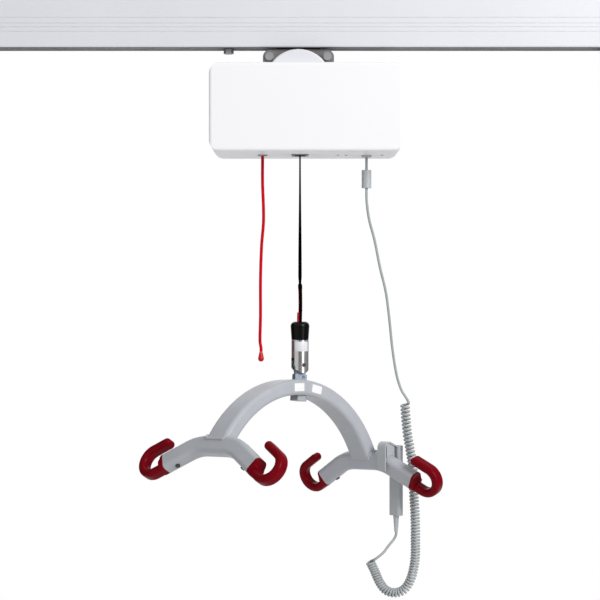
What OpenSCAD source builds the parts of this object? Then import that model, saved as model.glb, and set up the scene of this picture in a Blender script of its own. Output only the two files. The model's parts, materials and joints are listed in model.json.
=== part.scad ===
// Ceiling track hoist: a lifting unit on a trolley in an overhead rail, with a strap, a four-point
// spreader bar, a red emergency cord and a handset on a curly cable.
// Units are millimetres. X runs along the rail, Z is up, and the origin is on the rail's top face,
// over the lifting strap.

/* [Rail] */
// Width of the rail
rail_w = 48; // [46:1:56]
// Height of the rail
rail_h = 110; // [100:1:130]
// Length of rail to the left of the strap
rail_left = 600; // [300:10:1500]
// Length of rail to the right of the strap
rail_right = 700; // [650:10:2500]
// Thickness of the rail's walls
rail_wall = 3; // [2:0.25:4]
// Thickness of the two running lips
lip_t = 5; // [4:0.5:8]
// Width of the slot between the lips
slot_w = 17; // [14:0.5:18]
// Inside height of the trolley channel
channel_h = 46; // [42:1:54]
// Radius of the rail's long edges
rail_edge_r = 4; // [1:0.5:5]
// Depth of the fine grooves along the rail's sides
groove_depth = 0.8; // [0.4:0.1:1.2]
// Height of each fine groove
groove_h = 1.6; // [1:0.2:3]
// Diameter of the holes for the ceiling bolts
ceiling_hole_d = 11; // [8:0.5:14]
// Distance between the two ceiling bolts
ceiling_pitch = 1000; // [400:10:1000]
// Thickness of the plastic end caps
end_cap_t = 4; // [2:0.5:10]

/* [Stops] */
// Distance of the left stop from the strap
stop_left = 139; // [125:1:200]
// Distance of the right stop from the strap
stop_right = 595; // [300:5:595]
// Length of a stop block along the rail
stop_len = 30; // [24:1:40]
// Height of a stop block
stop_h = 24; // [20:1:30]
// Length of a rubber buffer
buffer_len = 10; // [5:1:15]
// Diameter of a rubber buffer
buffer_d = 16; // [10:1:18]
// Thread diameter of a stop bolt
stop_bolt_d = 10; // [8:1:12]
// Width across the flats of a stop bolt's head
stop_head_af = 17; // [15:1:19]
// Height of a stop bolt's head
stop_head_h = 7; // [5:0.5:9]
// Diameter of a stop bolt's washer
stop_washer_d = 21; // [20:1:26]

/* [Trolley] */
// Diameter of a trolley wheel
wheel_d = 32; // [28:1:34]
// Width of a trolley wheel
wheel_w = 9; // [6:0.5:10]
// Diameter of a wheel's axle
axle_d = 8; // [6:1:10]
// Distance between the two axles
wheel_base = 68; // [60:1:76]
// Length of the trolley body
trolley_len = 120; // [112:1:140]
// Thickness of the trolley body
trolley_t = 18; // [16:0.5:19]
// Height of the trolley body
trolley_h = 30; // [26:1:34]
// Thickness of the yoke's tongue in the slot
tongue_t = 10; // [8:0.5:12]

/* [Yoke] */
// Place of the yoke's middle along the rail, from the strap
yoke_x = -3; // [-6:0.5:6]
// Half the distance between the two ear bolts
ear_half = 56; // [54:0.5:62]
// Depth of the ear bolts below the rail
ear_drop = 20; // [15.5:0.5:22]
// Radius of the ears
ear_r = 12.5; // [10:0.5:13]
// Diameter of the ear bolts
ear_bolt_d = 10; // [8:1:12]
// Diameter of the ear bolts' round heads
ear_head_d = 16; // [14:1:18]
// Height of the ear bolts' round heads
ear_head_h = 6; // [4:0.5:7]
// Thickness of the yoke's web
yoke_t = 24; // [20:1:40]
// Gap between the rail and the yoke
yoke_gap = 2; // [1:0.5:3]

/* [Casing] */
// Width of the casing
case_w = 370; // [366:1:400]
// Height of the casing
case_h = 169; // [166:1:190]
// Depth of the casing
case_d = 180; // [176:2:220]
// Place of the casing's middle along the rail, from the strap
case_x = 12; // [8:1:16]
// Gap between the rail and the casing's top
case_gap = 37; // [36:0.5:45]
// Wall thickness of the casing
case_wall = 3; // [2:0.25:4]
// Radius of the casing's corners, seen from the front
case_corner_r = 22; // [15:1:24]
// Radius of the casing's front and back edges
case_edge_r = 6; // [5:1:20]
// Depth of the rear cover
rear_depth = 28; // [24:1:34]
// Radius of the dome
dome_r = 63.5; // [58:0.5:64.5]
// Height of the dome's top over the casing
dome_rise = 29.5; // [24:0.5:32]
// Depth of the dome from front to back
dome_t = 10; // [8:0.5:14]
// Wall thickness of the dome
dome_wall = 3; // [2:0.25:4]
// Radius of the dome's rim
dome_rim_r = 4; // [2:0.5:6]
// Width of the strap's opening in the casing
guide_x = 28; // [26:1:40]
// Depth of the strap's opening in the casing
guide_y = 36; // [32:1:44]

/* [Drive] */
// Width of the lifting strap
strap_w = 25; // [20:1:26]
// Thickness of the lifting strap
strap_t = 2.4; // [1.6:0.1:3]
// Outer radius of the wound strap
wind_r = 40; // [34:0.5:42]
// Radius of the drum's core
core_r = 22; // [18:0.5:28]
// Radius of the drum's flanges
flange_r = 45; // [43:0.5:46]
// Thickness of a drum flange
flange_t = 2; // [1.5:0.25:3]
// Height of the drum's axis below the casing's top
drum_drop = 78; // [74:1:82]
// Diameter of the drum's shaft
shaft_d = 16; // [12:0.5:20]
// Outer diameter of the drum's bearings
bearing_d = 32; // [28:1:38]
// Size of the gear teeth (module)
gear_m = 1.5; // [1.2:0.1:1.6]
// Teeth on the drum's gear
drum_teeth = 58; // [48:1:60]
// Teeth on the pinion
pinion_teeth = 15; // [13:1:18]
// Width of the gears
gear_w = 8; // [6:0.5:10]
// Thickness of the chassis plates
plate_t = 4; // [3:0.5:6]
// Distance between the chassis plates
plate_gap = 72; // [66:1:80]
// Diameter of the motor
motor_d = 60; // [50:1:70]
// Length of the motor
motor_len = 46; // [36:1:48]
// Length of a battery pack
battery_x = 60; // [40:1:62]
// Depth of a battery pack
battery_y = 58; // [40:1:60]
// Height of a battery pack
battery_z = 118; // [80:1:120]

/* [Coupling] */
// Height of the rubber cap
cap_h = 36; // [34:0.5:44]
// Radius of the cap's rounded top
cap_top_r = 18.5; // [17.5:0.25:22]
// Radius of the cap's lower end
cap_low_r = 16.75; // [16.6:0.05:18]
// Radius of the steel swivel housing
housing_r = 17; // [16.8:0.1:20]
// Radius of the coupling's head inside the cap
head_r = 15.5; // [15.2:0.1:16]
// Diameter of the strap pin
strap_pin_d = 7; // [5:0.5:8]
// Diameter of the swivel shank
shank_d = 12; // [10:0.5:16]
// Diameter of the fork's pin
fork_pin_d = 8; // [6:0.5:9]
// Width of the fork's slot
fork_slot = 13; // [12.5:0.25:15]
// Radius of the tilt ball
ball_r = 8.5; // [7.5:0.25:9]
// Thickness of the lug's eye
eye_t = 8; // [6:0.5:8.5]
// Outer radius of the lug's eye
eye_r = 13; // [12:0.25:13.2]
// Width of the lug's block
lug_w = 25; // [24:0.1:27]
// Depth of the lug's block
lug_d = 14; // [12:0.5:24]

/* [Spreader bar] */
// Radius of the arch, to the middle of its tube
arch_mid_r = 240; // [225:1:255]
// Angle from the arch's top to its foot
arch_end = 58; // [54:1:62]
// Width of the arch's tube
arch_w = 52; // [48:1:60]
// Thickness of the arch's tube
arch_t = 30; // [26:0.5:31]
// Corner radius of the arch's tube
arch_r = 9; // [5:0.5:11]
// Width of a crossbar's tube
cross_w = 28; // [24:0.5:32]
// Height of a crossbar's tube
cross_h = 36; // [34:0.5:40]
// Corner radius of a crossbar's tube
cross_r = 9; // [5:0.5:11]
// Wall thickness of the bar's tubes
tube_wall = 3; // [2:0.25:4]
// Half the length of a crossbar's tube
cross_half = 115; // [110:1:130]
// Half the length of a crossbar's straight middle
cross_flat = 25; // [25:1:40]
// Radius of a crossbar's bends
cross_bend_r = 85; // [55:1:85]
// Angle of a crossbar's bends
cross_bend = 30; // [15:1:32]
// How far a crossbar is rolled outwards, so that its ends splay
cross_roll = 24; // [18:1:30]
// Diameter of the lug's shank through the arch
lug_shank_d = 14; // [10:0.5:22]
// Height of the lug's nut
lug_nut_h = 10; // [8:0.5:14]
// Width across the corners of the lug's nut
lug_nut_d = 35; // [30:0.5:38]

/* [Hooks] */
// Width of a hook's band
hook_w = 24; // [18:0.5:28]
// Thickness of a hook's band
hook_t = 17; // [12:0.5:18]
// Corner radius of a hook's band
hook_r = 7; // [3:0.25:7.5]
// Gap across the inside of a hook
hook_gap = 36; // [26:0.5:38]
// Distance of the hook's bend from the tube's end
hook_reach = 27; // [22:0.5:34]
// How far the tip reaches back past the tube's end
hook_tip = 6; // [0:0.5:10]
// Length of the hook's spigot in the tube
spigot_len = 40; // [30:1:44]

/* [Handset] */
// Width of the handset
handset_w = 28; // [24:0.5:34]
// Thickness of the handset
handset_t = 16; // [14:0.5:20]
// Height of the clip's top over the crossbar's middle
handset_up = 46; // [42:1:54]
// Length of the handset below the crossbar's middle
handset_down = 105; // [96:1:110]
// Corner radius of the handset
handset_r = 6; // [3:0.25:7]
// Wall thickness of the handset
handset_wall = 2.5; // [1.5:0.25:3]
// Place of the handset along the crossbar
handset_at = 58; // [54:1:62]
// Width of the clip that holds the handset on the crossbar
clip_w = 20; // [14:0.5:24]
// Thickness of the clip
clip_t = 3; // [2:0.25:4]
// Room inside the clip, across the crossbar's tube
clip_room = 36.5; // [33:0.5:40]
// Width of a button
button_w = 13; // [8:0.5:16]
// Height of a button
button_h = 15; // [8:0.5:20]
// How far a button stands out
button_out = 1.6; // [1.4:0.1:3]
// Length of the strain relief
relief_len = 34; // [20:1:34]

/* [Cords] */
// Diameter of the red emergency cord
pull_d = 5; // [3:0.25:6]
// Diameter of the handset cable
cable_d = 4; // [3:0.25:4.5]
// Diameter of the curly part's cord
curl_d = 3.8; // [3:0.1:4]
// Mean radius of the curls
curl_r = 7.2; // [6:0.1:8]
// Number of curls
curls = 76; // [40:1:80]
// Diameter of the sleeve on the handset cable
sleeve_d = 19; // [14:0.5:24]

/* [Hidden] */
$fn = 64;

// Clearances
run_gap = 0.05;     // a shaft in its bearing, per side
fit_gap = 0.1;      // a bolt or pin in its hole, per side
seat_gap = 0.3;     // two pieces that move past each other
slide_gap = 0.5;    // a loose guide
over = 1;           // how far a cut runs past a face

// Rail levels
rail_len = rail_left + rail_right;
rail_low = -rail_h;
lip_top = rail_low + lip_t;
channel_top = lip_top + channel_h;
channel_w = rail_w - 2 * rail_wall;
chamber_low = channel_top + rail_wall;
chamber_r = 2;
groove_heights = [31, 39.5, 47, 58];
access_d = 2 * ceiling_hole_d;
ceiling_mid = (rail_right - rail_left) / 2;
spigot_in = 12;

// Stops
stop_washer_t = 2;
stop_play = 1;

// Trolley levels
axle_z = lip_top + seat_gap + wheel_d / 2;
wheel_side = 1;
wheel_y = trolley_t / 2 + wheel_side + wheel_w / 2;
axle_head_t = 1;
axle_head_d = axle_d + 4;
trolley_low = lip_top + 2;
tongue_half = wheel_base / 2 + axle_d;
tongue_top = axle_z + axle_d;
wheel_edge_r = 1.5;

// Yoke levels
yoke_top = rail_low - yoke_gap;
ear_z = rail_low - ear_drop;
ear_nut_h = 8;
ear_nut_d = 18;

// Casing levels
case_top = rail_low - case_gap;
case_low = case_top - case_h;
case_left = case_x - case_w / 2;
case_right = case_x + case_w / 2;
case_front = -case_d / 2;
case_back = case_d / 2;
case_split = case_back - rear_depth;
case_mid_z = (case_top + case_low) / 2;
floor_z = case_low + case_wall;
post_r = 6;
post_sink = 0.5;
post_len = 32;
post_pitch = case_h / 2;
screw_d = 4;
screw_head_d = 8;
screw_head_h = 2.6;
screw_depth = 14;
dome_z = case_top + dome_rise - dome_r;

// Batteries, at the left end of the casing
battery_inset = 3;
battery_left = case_left + case_corner_r + battery_inset;
battery_space = 6;
battery_r = 4;
battery_gap = 3;

// Chassis
plate_in = plate_gap / 2;
plate_out = plate_in + plate_t;
plate_left = battery_left + battery_x + battery_gap;
plate_top = case_top - case_wall - 6;
plate_low = floor_z + 13;
rod_d = 10;
stub_d = 6;
stub_out = 2;
dome_y = -plate_out - ear_head_h - 1.5;

// Drum and gears
drum_x = strap_t / 2 + seat_gap + wind_r;
drum_z = case_top - drum_drop;
drum_in = strap_w / 2 + 1;
drum_side = drum_in + flange_t;
gear_play = 0.25;
drum_pitch_r = gear_m * drum_teeth / 2;
pinion_pitch_r = gear_m * pinion_teeth / 2;
pinion_x = drum_x + drum_pitch_r + pinion_pitch_r + gear_play;
pinion_shaft_d = 10;
// Depth of a gear tooth below its pitch line, in modules
gear_foot = 1.25;
// Points along each tooth flank
flank_steps = 5;
bearing_w = plate_t + 3;
shaft_half = plate_out + 4;
gear_pressure = 20;
gearbox_left = drum_x + max(flange_r, drum_pitch_r + gear_m) + 3;
motor_cap_d = 24;
motor_cap_t = 3;
motor_gap = 5.5;
gearbox_right = case_right - case_wall - motor_gap - motor_cap_t - motor_len;
gearbox_w = gearbox_right - gearbox_left;
gearbox_h = 62;
gearbox_back = drum_side - 1;
plate_right = gearbox_right;
motor_y = (gearbox_back - plate_in) / 2;

// Emergency lever: its pivot is one of the chassis rods
lever_x = -33;
lever_z = floor_z + 27;
lever_arm = 40;
lever_t = 6;
lever_r = 6;
lever_hub_r = 9;
lever_back = 18;
rod_places = [
    [plate_left + 15, plate_top - 12],
    [plate_right - 10, plate_top - 10],
    [lever_x, lever_z],
    [plate_right - 15, plate_low + 10]
];

// Control board
board_t = 1.6;
board_stand = 7;
board_x = [plate_left + 4, case_right - 47];
board_z = [floor_z + 20, case_top - 24];
board_y = case_front + case_wall + board_stand;
board_hole = 8;

// Underside fittings
cord_x = -73;
cord_y = 0;
socket_x = case_right - 67;
socket_y = 8;
socket_d = 16;
socket_low = case_low - 4;
eyelet_d = 13;
eyelet_low = case_low - 2;
light_places = [case_right - 123, case_right - 107, case_right - 37];
light_d = 5;
light_y = 2;
guide_t = 3;
guide_flange = 2.5;
guide_low = case_low - 1.5;

// Coupling levels
cap_top = -640.5;
cap_low = cap_top - cap_h;
cap_wall = 5;
cap_edge_r = 9;
cap_slot_t = strap_t + 3;
head_top = cap_top - cap_wall - 1;
head_low = cap_low - 0.2;
strap_pin_z = head_top - 14;
loop_in_r = strap_pin_d / 2 + seat_gap;
loop_out_r = loop_in_r + strap_t;
head_slot = 2 * loop_out_r + 2;
housing_top = head_low - seat_gap;
housing_plate = 8;
cavity_top = housing_top - housing_plate;
shank_end_d = 22;
shank_end_t = 4;
bearing_h = 14;
cavity_r = shank_end_d / 2 + 2;
shank_low = cavity_top - bearing_h - seat_gap - shank_end_t;
cavity_low = shank_low - 2;
fork_top = cavity_low - 6;

// Fork, ball and spreader bar: the bar hangs turned and tilted, as a loaded bar does
fork_turn = 26;
pivot = [0.6, 0, fork_top - 13.6];
tine_r = housing_r - 1.4;
ball_half = fork_slot / 2 - slide_gap;
eye_gap = 0.3;
tilt_side = 6.2;
tilt_fore = -4.8;
bar_turn = 21.7;
bar_yaw = fork_turn + bar_turn;
arch_top_drop = 30;
arch_drop = arch_top_drop + arch_t / 2;
bar_half = arch_mid_r * sin(arch_end) + cross_h / 2 * cos(arch_end);
cross_drop = arch_drop + arch_mid_r * (1 - cos(arch_end)) + cross_h / 2 * sin(arch_end);
arch_extra = 2;
lug_top_drop = 19;
tongue_w = 22;
arch_in_r = arch_mid_r - arch_t / 2;
lug_nut_gap = arch_in_r - sqrt(arch_in_r * arch_in_r - lug_nut_d * lug_nut_d / 4);

// Crossbar ends
bend_run = cross_bend_r * sin(cross_bend);
bend_fall = cross_bend_r * (1 - cos(cross_bend));
end_len = (cross_half - cross_flat - bend_run) / cos(cross_bend);
end_fall = bend_fall + end_len * sin(cross_bend);
splice_step = 0.05;
splice_lap = 1;
spigot_gap = 0.2;
sleeve_len = 11;
hook_bend_r = (hook_gap + hook_t) / 2;
hook_step = 0.8;
hook_low = -(cross_h - hook_t) / 2 + hook_step;
hook_mid = hook_low + hook_bend_r;
hook_high = hook_mid + hook_bend_r;
dish_r = hook_gap / 2 + 5;
hook_screw_d = 5;
hook_screw_head_d = 9;
hook_screw_head_t = 2.4;
hook_screw_at = 25;
hook_screw_len = 14;

// Handset: it hangs upright from the tilted crossbar
function turn_x(a, p) = [p[0], p[1] * cos(a) - p[2] * sin(a), p[1] * sin(a) + p[2] * cos(a)];
function turn_y(a, p) = [p[0] * cos(a) + p[2] * sin(a), p[1], p[2] * cos(a) - p[0] * sin(a)];
function turn_z(a, p) = [p[0] * cos(a) - p[1] * sin(a), p[0] * sin(a) + p[1] * cos(a), p[2]];
function bar_point(p) =
    pivot + turn_z(fork_turn, turn_y(tilt_side, turn_x(tilt_fore, turn_z(bar_turn, p))));
handset_bend = handset_at - cross_flat;
handset_fall = cross_bend_r - sqrt(cross_bend_r * cross_bend_r - handset_bend * handset_bend);
handset_mid = bar_point(
    [bar_half + handset_fall * sin(cross_roll), -handset_at, -cross_drop - handset_fall * cos(cross_roll)]
);
handset_in = clip_room / 2;
handset_seam = handset_in + handset_t / 2;
handset_out = handset_in + handset_t;
leg_low = -12;
rib_t = 2.5;
rib_y = 6;
rib_half = 12;
clip_gap = 0.4;
clip_r = 14;
roof_fall = 10;
body_up = handset_up - roof_fall;
button_z = [14, -10];
button_play = 0.3;
button_flange = 2;
button_flange_t = 1.5;
button_r = 3;
button_inside = 4;
board_in = 1.5;
board_half = 8;
board_up = 24;
board_down = 80;
relief_top_d = 12;
relief_low_d = 7;

// Cord routes, in the whole model's frame
pull_top = lever_z - lever_r - 0.8;
cord_gap = 0.3;
pull_route = [
    [cord_x, cord_y, pull_top], [-73, 0, -330], [-73, 0, -370], [-71, 0, -440], [-75, 0, -495],
    [-77, 0, -560], [-77, 0, -628], [-78, 0, -676], [-76, 0, -692], [-76, 0, -700]
];
knob_r = 5.8;
knob_len = 7;
knob_top_r = 3.2;
knob_taper = asin((knob_r - knob_top_r) / (knob_len + knob_r));
sleeve_top = -345;
sleeve_low = -380;
lead_route = [[socket_x, socket_y, socket_low], [socket_x, socket_y, sleeve_top + cord_gap]];
run_route = [
    [socket_x, socket_y, sleeve_low - cord_gap], [130, 8, -390], [131, 12, -410], [136, 20, -442],
    [147, 30, -482], [158, 42, -534], [170, 54, -582], [177, 64, -630], [185, 80, -698], [194, 90, -750],
    [203, 97, -778], [209, 100, -796], [210.9, 100, -807.5]
];
coil_route = [
    [211, 100, -808], [213, 100, -838], [216, 100, -868], [221, 100, -898], [226, 100, -928],
    [228, 100, -960], [229, 100, -992], [231, 100, -1024], [232, 100, -1056], [232, 100, -1084],
    [232, 100, -1110], [229, 100, -1136], [224, 101, -1156], [216, 101, -1173], [205, 102, -1184],
    [190, 103, -1188], [175, 103, -1184], [164, 104, -1173], [156, 104, -1158], [149, 105, -1141],
    [145.2, 105, -1130], [144.6, 105, -1125.5], [147.5, 105, -1121]
];
relief_end = handset_mid + turn_z(bar_yaw, [handset_seam, 0, -handset_down - relief_len]);
tail_route = [
    [147.8, 105, -1120.6], [150, 105, -1117.9], [155, 105, -1114], [162, 105, -1109.5], [170, 106, -1103.5],
    [178.5, 109.5, -1094.5], relief_end - [4, 0, 14], relief_end - [0, 0, 5], relief_end - [0, 0, cord_gap]
];
cord_sides = 10;
curl_sides = 6;
curl_rings = 8;
curl_lead = 2 * curl_d;
spline_steps = 3;
coil_steps = 10;

// Curves and tubes
function unit(v) = v / norm(v);
function spline_point(p, i, t) =
    let (
        a = p[max(i - 1, 0)],
        b = p[i],
        c = p[i + 1],
        d = p[min(i + 2, len(p) - 1)]
    )
    (2 * b + (c - a) * t + (2 * a - 5 * b + 4 * c - d) * t * t + (3 * b - a - 3 * c + d) * t * t * t) / 2;
function spline(p, steps) = concat(
    [for (i = [0 : len(p) - 2], k = [0 : steps - 1]) spline_point(p, i, k / steps)],
    [p[len(p) - 1]]
);
function tangent(p, i) = unit(p[min(i + 1, len(p) - 1)] - p[max(i - 1, 0)]);
function ring(centre, along, side, r, sides) =
    let (u = unit(side - (side * along) * along), v = cross(along, u))
    [for (k = [0 : sides - 1]) centre + r * (cos(360 * k / sides) * u + sin(360 * k / sides) * v)];
function tube_faces(rings, sides) = concat(
    [for (k = [1 : sides - 2]) [0, k, k + 1]],
    [for (k = [1 : sides - 2]) [0, k + 1, k] + (rings - 1) * sides * [1, 1, 1]],
    [
        for (i = [0 : rings - 2], k = [0 : sides - 1])
        let (a = i * sides + k, b = i * sides + (k + 1) % sides)
        each [[a, a + sides, b + sides], [a, b + sides, b]]
    ]
);
module tube(points, sides_out, d, sides) {
    rings = [
        for (i = [0 : len(points) - 1])
        each ring(points[i], tangent(points, i), sides_out[i], d / 2, sides)
    ];
    polyhedron(rings, tube_faces(len(points), sides), convexity = 10);
}
module cord(route, d) {
    points = spline(route, spline_steps);
    tube(points, [for (p = points) [0, 1, 0]], d, cord_sides);
}

// Curly cord: a helix round a smooth centre line, straight at both ends
coil_line = spline(coil_route, coil_steps);
coil_parts = [for (i = [0 : len(coil_line) - 2]) norm(coil_line[i + 1] - coil_line[i])];
coil_marks = [
    for (i = 0, s = 0; i <= len(coil_parts); s = s + (i < len(coil_parts) ? coil_parts[i] : 0), i = i + 1)
        s
];
coil_len = coil_marks[len(coil_marks) - 1];
curl_pitch = (coil_len - 2 * curl_lead) / curls;
function coil_index(s) =
    min(len(coil_parts) - 1, max([for (i = [0 : len(coil_marks) - 1]) if (coil_marks[i] <= s) i]));
function coil_at(s) =
    let (i = coil_index(s))
    coil_line[i] + (coil_line[i + 1] - coil_line[i]) * (s - coil_marks[i]) / coil_parts[i];
function coil_along(s) = unit(coil_at(min(s + curl_d, coil_len)) - coil_at(max(s - curl_d, 0)));
function curl_swell(k) =
    let (t = min(1, min(k, curls * curl_rings - k) / curl_rings))
    t * t * (3 - 2 * t);
function curl_side(s, turn) =
    let (along = coil_along(s), u = unit(cross(along, [0, 1, 0])), v = cross(along, u))
    cos(turn) * u + sin(turn) * v;
curl_stations = concat(
    [[0, 0, 0]],
    [
        for (k = [0 : curls * curl_rings])
        [curl_lead + k * curl_pitch / curl_rings, 360 * k / curl_rings, curl_r * curl_swell(k)]
    ],
    [[coil_len, 0, 0]]
);
curl_sides_out = [for (q = curl_stations) curl_side(q[0], q[1])];
curl_points = [
    for (i = [0 : len(curl_stations) - 1])
    coil_at(curl_stations[i][0]) + curl_stations[i][2] * curl_sides_out[i]
];
curl_near = curl_rings / 2;
curl_far = 2 * curl_rings;
curl_least_gap = min([
    for (i = [0 : len(curl_points) - 1 - curl_far], j = [curl_near : curl_far])
    norm(curl_points[i + j] - curl_points[i])
]) - curl_d;
echo(curl_least_gap = curl_least_gap, curl_pitch = curl_pitch, coil_len = coil_len);

// Shared shapes
module round_rect(w, h, r) {
    square([w - 2 * r, h], center = true);
    square([w, h - 2 * r], center = true);
    for (x = [-1, 1], y = [-1, 1])
        translate([x * (w / 2 - r), y * (h / 2 - r)])
            circle(r = r);
}
// A flat outline carried along X: its first axis is Y and its second is Z
module along_x(length) {
    rotate([90, 0, 90])
        linear_extrude(height = length)
            children();
}
// A flat outline carried along Y: its first axis is X and its second is Z
module along_y(from, to) {
    translate([0, to, 0])
        rotate([90, 0, 0])
            linear_extrude(height = to - from)
                children();
}
// A round bar along Y
module rod_y(x, z, from, to, d) {
    translate([x, to, z])
        rotate([90, 0, 0])
            cylinder(d = d, h = to - from);
}
// A round bar along X
module rod_x(y, z, from, to, d) {
    translate([from, y, z])
        rotate([0, 90, 0])
            cylinder(d = d, h = to - from);
}

// Rail
module rail_outline() {
    difference() {
        translate([0, rail_low / 2])
            round_rect(rail_w, rail_h, rail_edge_r);
        translate([0, (chamber_low - rail_wall) / 2])
            round_rect(channel_w, -rail_wall - chamber_low, chamber_r);
        translate([-channel_w / 2, lip_top])
            square([channel_w, channel_h]);
        translate([-slot_w / 2, rail_low - over])
            square([slot_w, lip_t + 2 * over]);
        for (side = [-1, 1], z = groove_heights)
            translate([side * rail_w / 2, rail_low + z])
                square([2 * groove_depth, groove_h], center = true);
    }
}
module rail() {
    color("gainsboro")
        difference() {
            translate([-rail_left, 0, 0])
                along_x(rail_len)
                    rail_outline();
            for (side = [-1, 1])
                translate([ceiling_mid + side * ceiling_pitch / 2, 0, 0]) {
                    translate([0, 0, -rail_wall - over])
                        cylinder(d = ceiling_hole_d, h = rail_wall + 2 * over);
                    translate([0, 0, channel_top - over])
                        cylinder(d = access_d, h = rail_wall + 2 * over);
                }
        }
}
module rail_end_cap() {
    along_x(end_cap_t)
        translate([0, rail_low / 2])
            round_rect(rail_w, rail_h, rail_edge_r);
    translate([-spigot_in, 0, 0])
        along_x(spigot_in)
            translate([0, (chamber_low - rail_wall) / 2])
                round_rect(
                    channel_w - 2 * fit_gap,
                    -rail_wall - chamber_low - 2 * fit_gap,
                    chamber_r
                );
}
module rail_end_caps() {
    color("silver") {
        translate([rail_right, 0, 0])
            rail_end_cap();
        translate([-rail_left, 0, 0])
            mirror([1, 0, 0])
                rail_end_cap();
    }
}

// Stops
module at_stops() {
    translate([-stop_left, 0, 0])
        children();
    translate([stop_right, 0, 0])
        mirror([1, 0, 0])
            children();
}
module end_stops() {
    color("dimgray")
        at_stops()
            difference() {
                translate([-stop_len / 2, -channel_w / 2 + stop_play, lip_top])
                    cube([stop_len, channel_w - 2 * stop_play, stop_h]);
                translate([0, 0, lip_top - over])
                    cylinder(d = stop_bolt_d + 2 * fit_gap, h = stop_h + 2 * over);
            }
}
module stop_buffers() {
    color("black")
        at_stops()
            rod_x(0, lip_top + stop_h / 2, stop_len / 2, stop_len / 2 + buffer_len, buffer_d);
}
module stop_bolts() {
    color("lightgray")
        at_stops() {
            translate([0, 0, rail_low - stop_washer_t])
                cylinder(d = stop_bolt_d, h = stop_washer_t + lip_t + stop_h);
            translate([0, 0, rail_low - stop_washer_t])
                cylinder(d = stop_washer_d, h = stop_washer_t);
            translate([0, 0, rail_low - stop_washer_t - stop_head_h])
                cylinder(d = stop_head_af / cos(30), h = stop_head_h, $fn = 6);
        }
}

// Trolley
module at_axles() {
    for (side = [-1, 1])
        translate([yoke_x + side * wheel_base / 2, 0, axle_z])
            children();
}
module trolley_body() {
    color("slategray")
        difference() {
            translate([yoke_x - trolley_len / 2, -trolley_t / 2, trolley_low])
                cube([trolley_len, trolley_t, trolley_h]);
            translate([yoke_x - tongue_half - fit_gap, -tongue_t / 2 - fit_gap, trolley_low - over])
                cube([
                    2 * (tongue_half + fit_gap),
                    tongue_t + 2 * fit_gap,
                    tongue_top + fit_gap - trolley_low + over
                ]);
            at_axles()
                rod_y(0, 0, -trolley_t, trolley_t, axle_d + 2 * fit_gap);
        }
}
module wheel_axles() {
    axle_end = wheel_y + wheel_w / 2 + seat_gap;
    color("silver")
        at_axles() {
            rod_y(0, 0, -axle_end, axle_end, axle_d);
            for (side = [-1, 1])
                translate([0, side * (axle_end + axle_head_t / 2), 0])
                    rod_y(0, 0, -axle_head_t / 2, axle_head_t / 2, axle_head_d);
        }
}
module wheel_pair(x) {
    half = wheel_w / 2;
    for (side = [-1, 1])
        translate([x, side * wheel_y, axle_z])
            rotate([90, 0, 0])
                rotate_extrude()
                    difference() {
                        translate([axle_d / 2 + run_gap, -half])
                            square([(wheel_d - axle_d) / 2 - run_gap, wheel_w]);
                        for (end = [-1, 1])
                            translate([wheel_d / 2, end * half])
                                rotate(45)
                                    square(wheel_edge_r * sqrt(2), center = true);
                    }
}
module left_wheels() {
    color("whitesmoke")
        wheel_pair(yoke_x - wheel_base / 2);
}
module right_wheels() {
    color("whitesmoke")
        wheel_pair(yoke_x + wheel_base / 2);
}

// Yoke
module at_ears() {
    for (side = [-1, 1])
        translate([yoke_x + side * ear_half, 0, ear_z])
            children();
}
module yoke() {
    color("dimgray")
        difference() {
            union() {
                translate([yoke_x - tongue_half, -tongue_t / 2, yoke_top - over])
                    cube([2 * tongue_half, tongue_t, tongue_top - yoke_top + over]);
                translate([yoke_x - ear_half, -yoke_t / 2, ear_z - ear_r])
                    cube([2 * ear_half, yoke_t, yoke_top - ear_z + ear_r]);
                at_ears()
                    rod_y(0, 0, -plate_in, plate_in, 2 * ear_r);
            }
            at_ears()
                rod_y(0, 0, -plate_in - over, plate_in + over, ear_bolt_d + 2 * fit_gap);
            at_axles()
                rod_y(0, 0, -tongue_t, tongue_t, axle_d + 2 * fit_gap);
        }
}
module yoke_bolts() {
    color("silver")
        at_ears() {
            rod_y(0, 0, -plate_out, plate_out + ear_nut_h, ear_bolt_d);
            rod_y(0, 0, -plate_out - ear_head_h, -plate_out, ear_head_d);
            translate([0, plate_out + ear_nut_h, 0])
                rotate([90, 0, 0])
                    cylinder(d = ear_nut_d, h = ear_nut_h, $fn = 6);
        }
}

// Chassis
module chassis_outline() {
    difference() {
        union() {
            translate([plate_left, plate_low])
                square([plate_right - plate_left, plate_top - plate_low]);
            for (side = [-1, 1])
                translate([yoke_x + side * ear_half, ear_z]) {
                    circle(r = ear_r);
                    translate([-ear_r, plate_top - over - ear_z])
                        square([2 * ear_r, ear_z - plate_top + over]);
                }
        }
        for (side = [-1, 1])
            translate([yoke_x + side * ear_half, ear_z])
                circle(d = ear_bolt_d + 2 * fit_gap);
        translate([drum_x, drum_z])
            circle(d = bearing_d);
        for (place = rod_places)
            translate(place)
                circle(d = stub_d + 2 * fit_gap);
    }
}
module chassis_plates() {
    color("silver") {
        along_y(-plate_out, -plate_in)
            chassis_outline();
        along_y(plate_in, plate_out)
            chassis_outline();
    }
}
module chassis_rods() {
    color("gray")
        for (place = rod_places) {
            rod_y(place[0], place[1], -plate_in, plate_in, rod_d);
            rod_y(place[0], place[1], -plate_out - stub_out, plate_out + stub_out, stub_d);
        }
}

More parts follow.
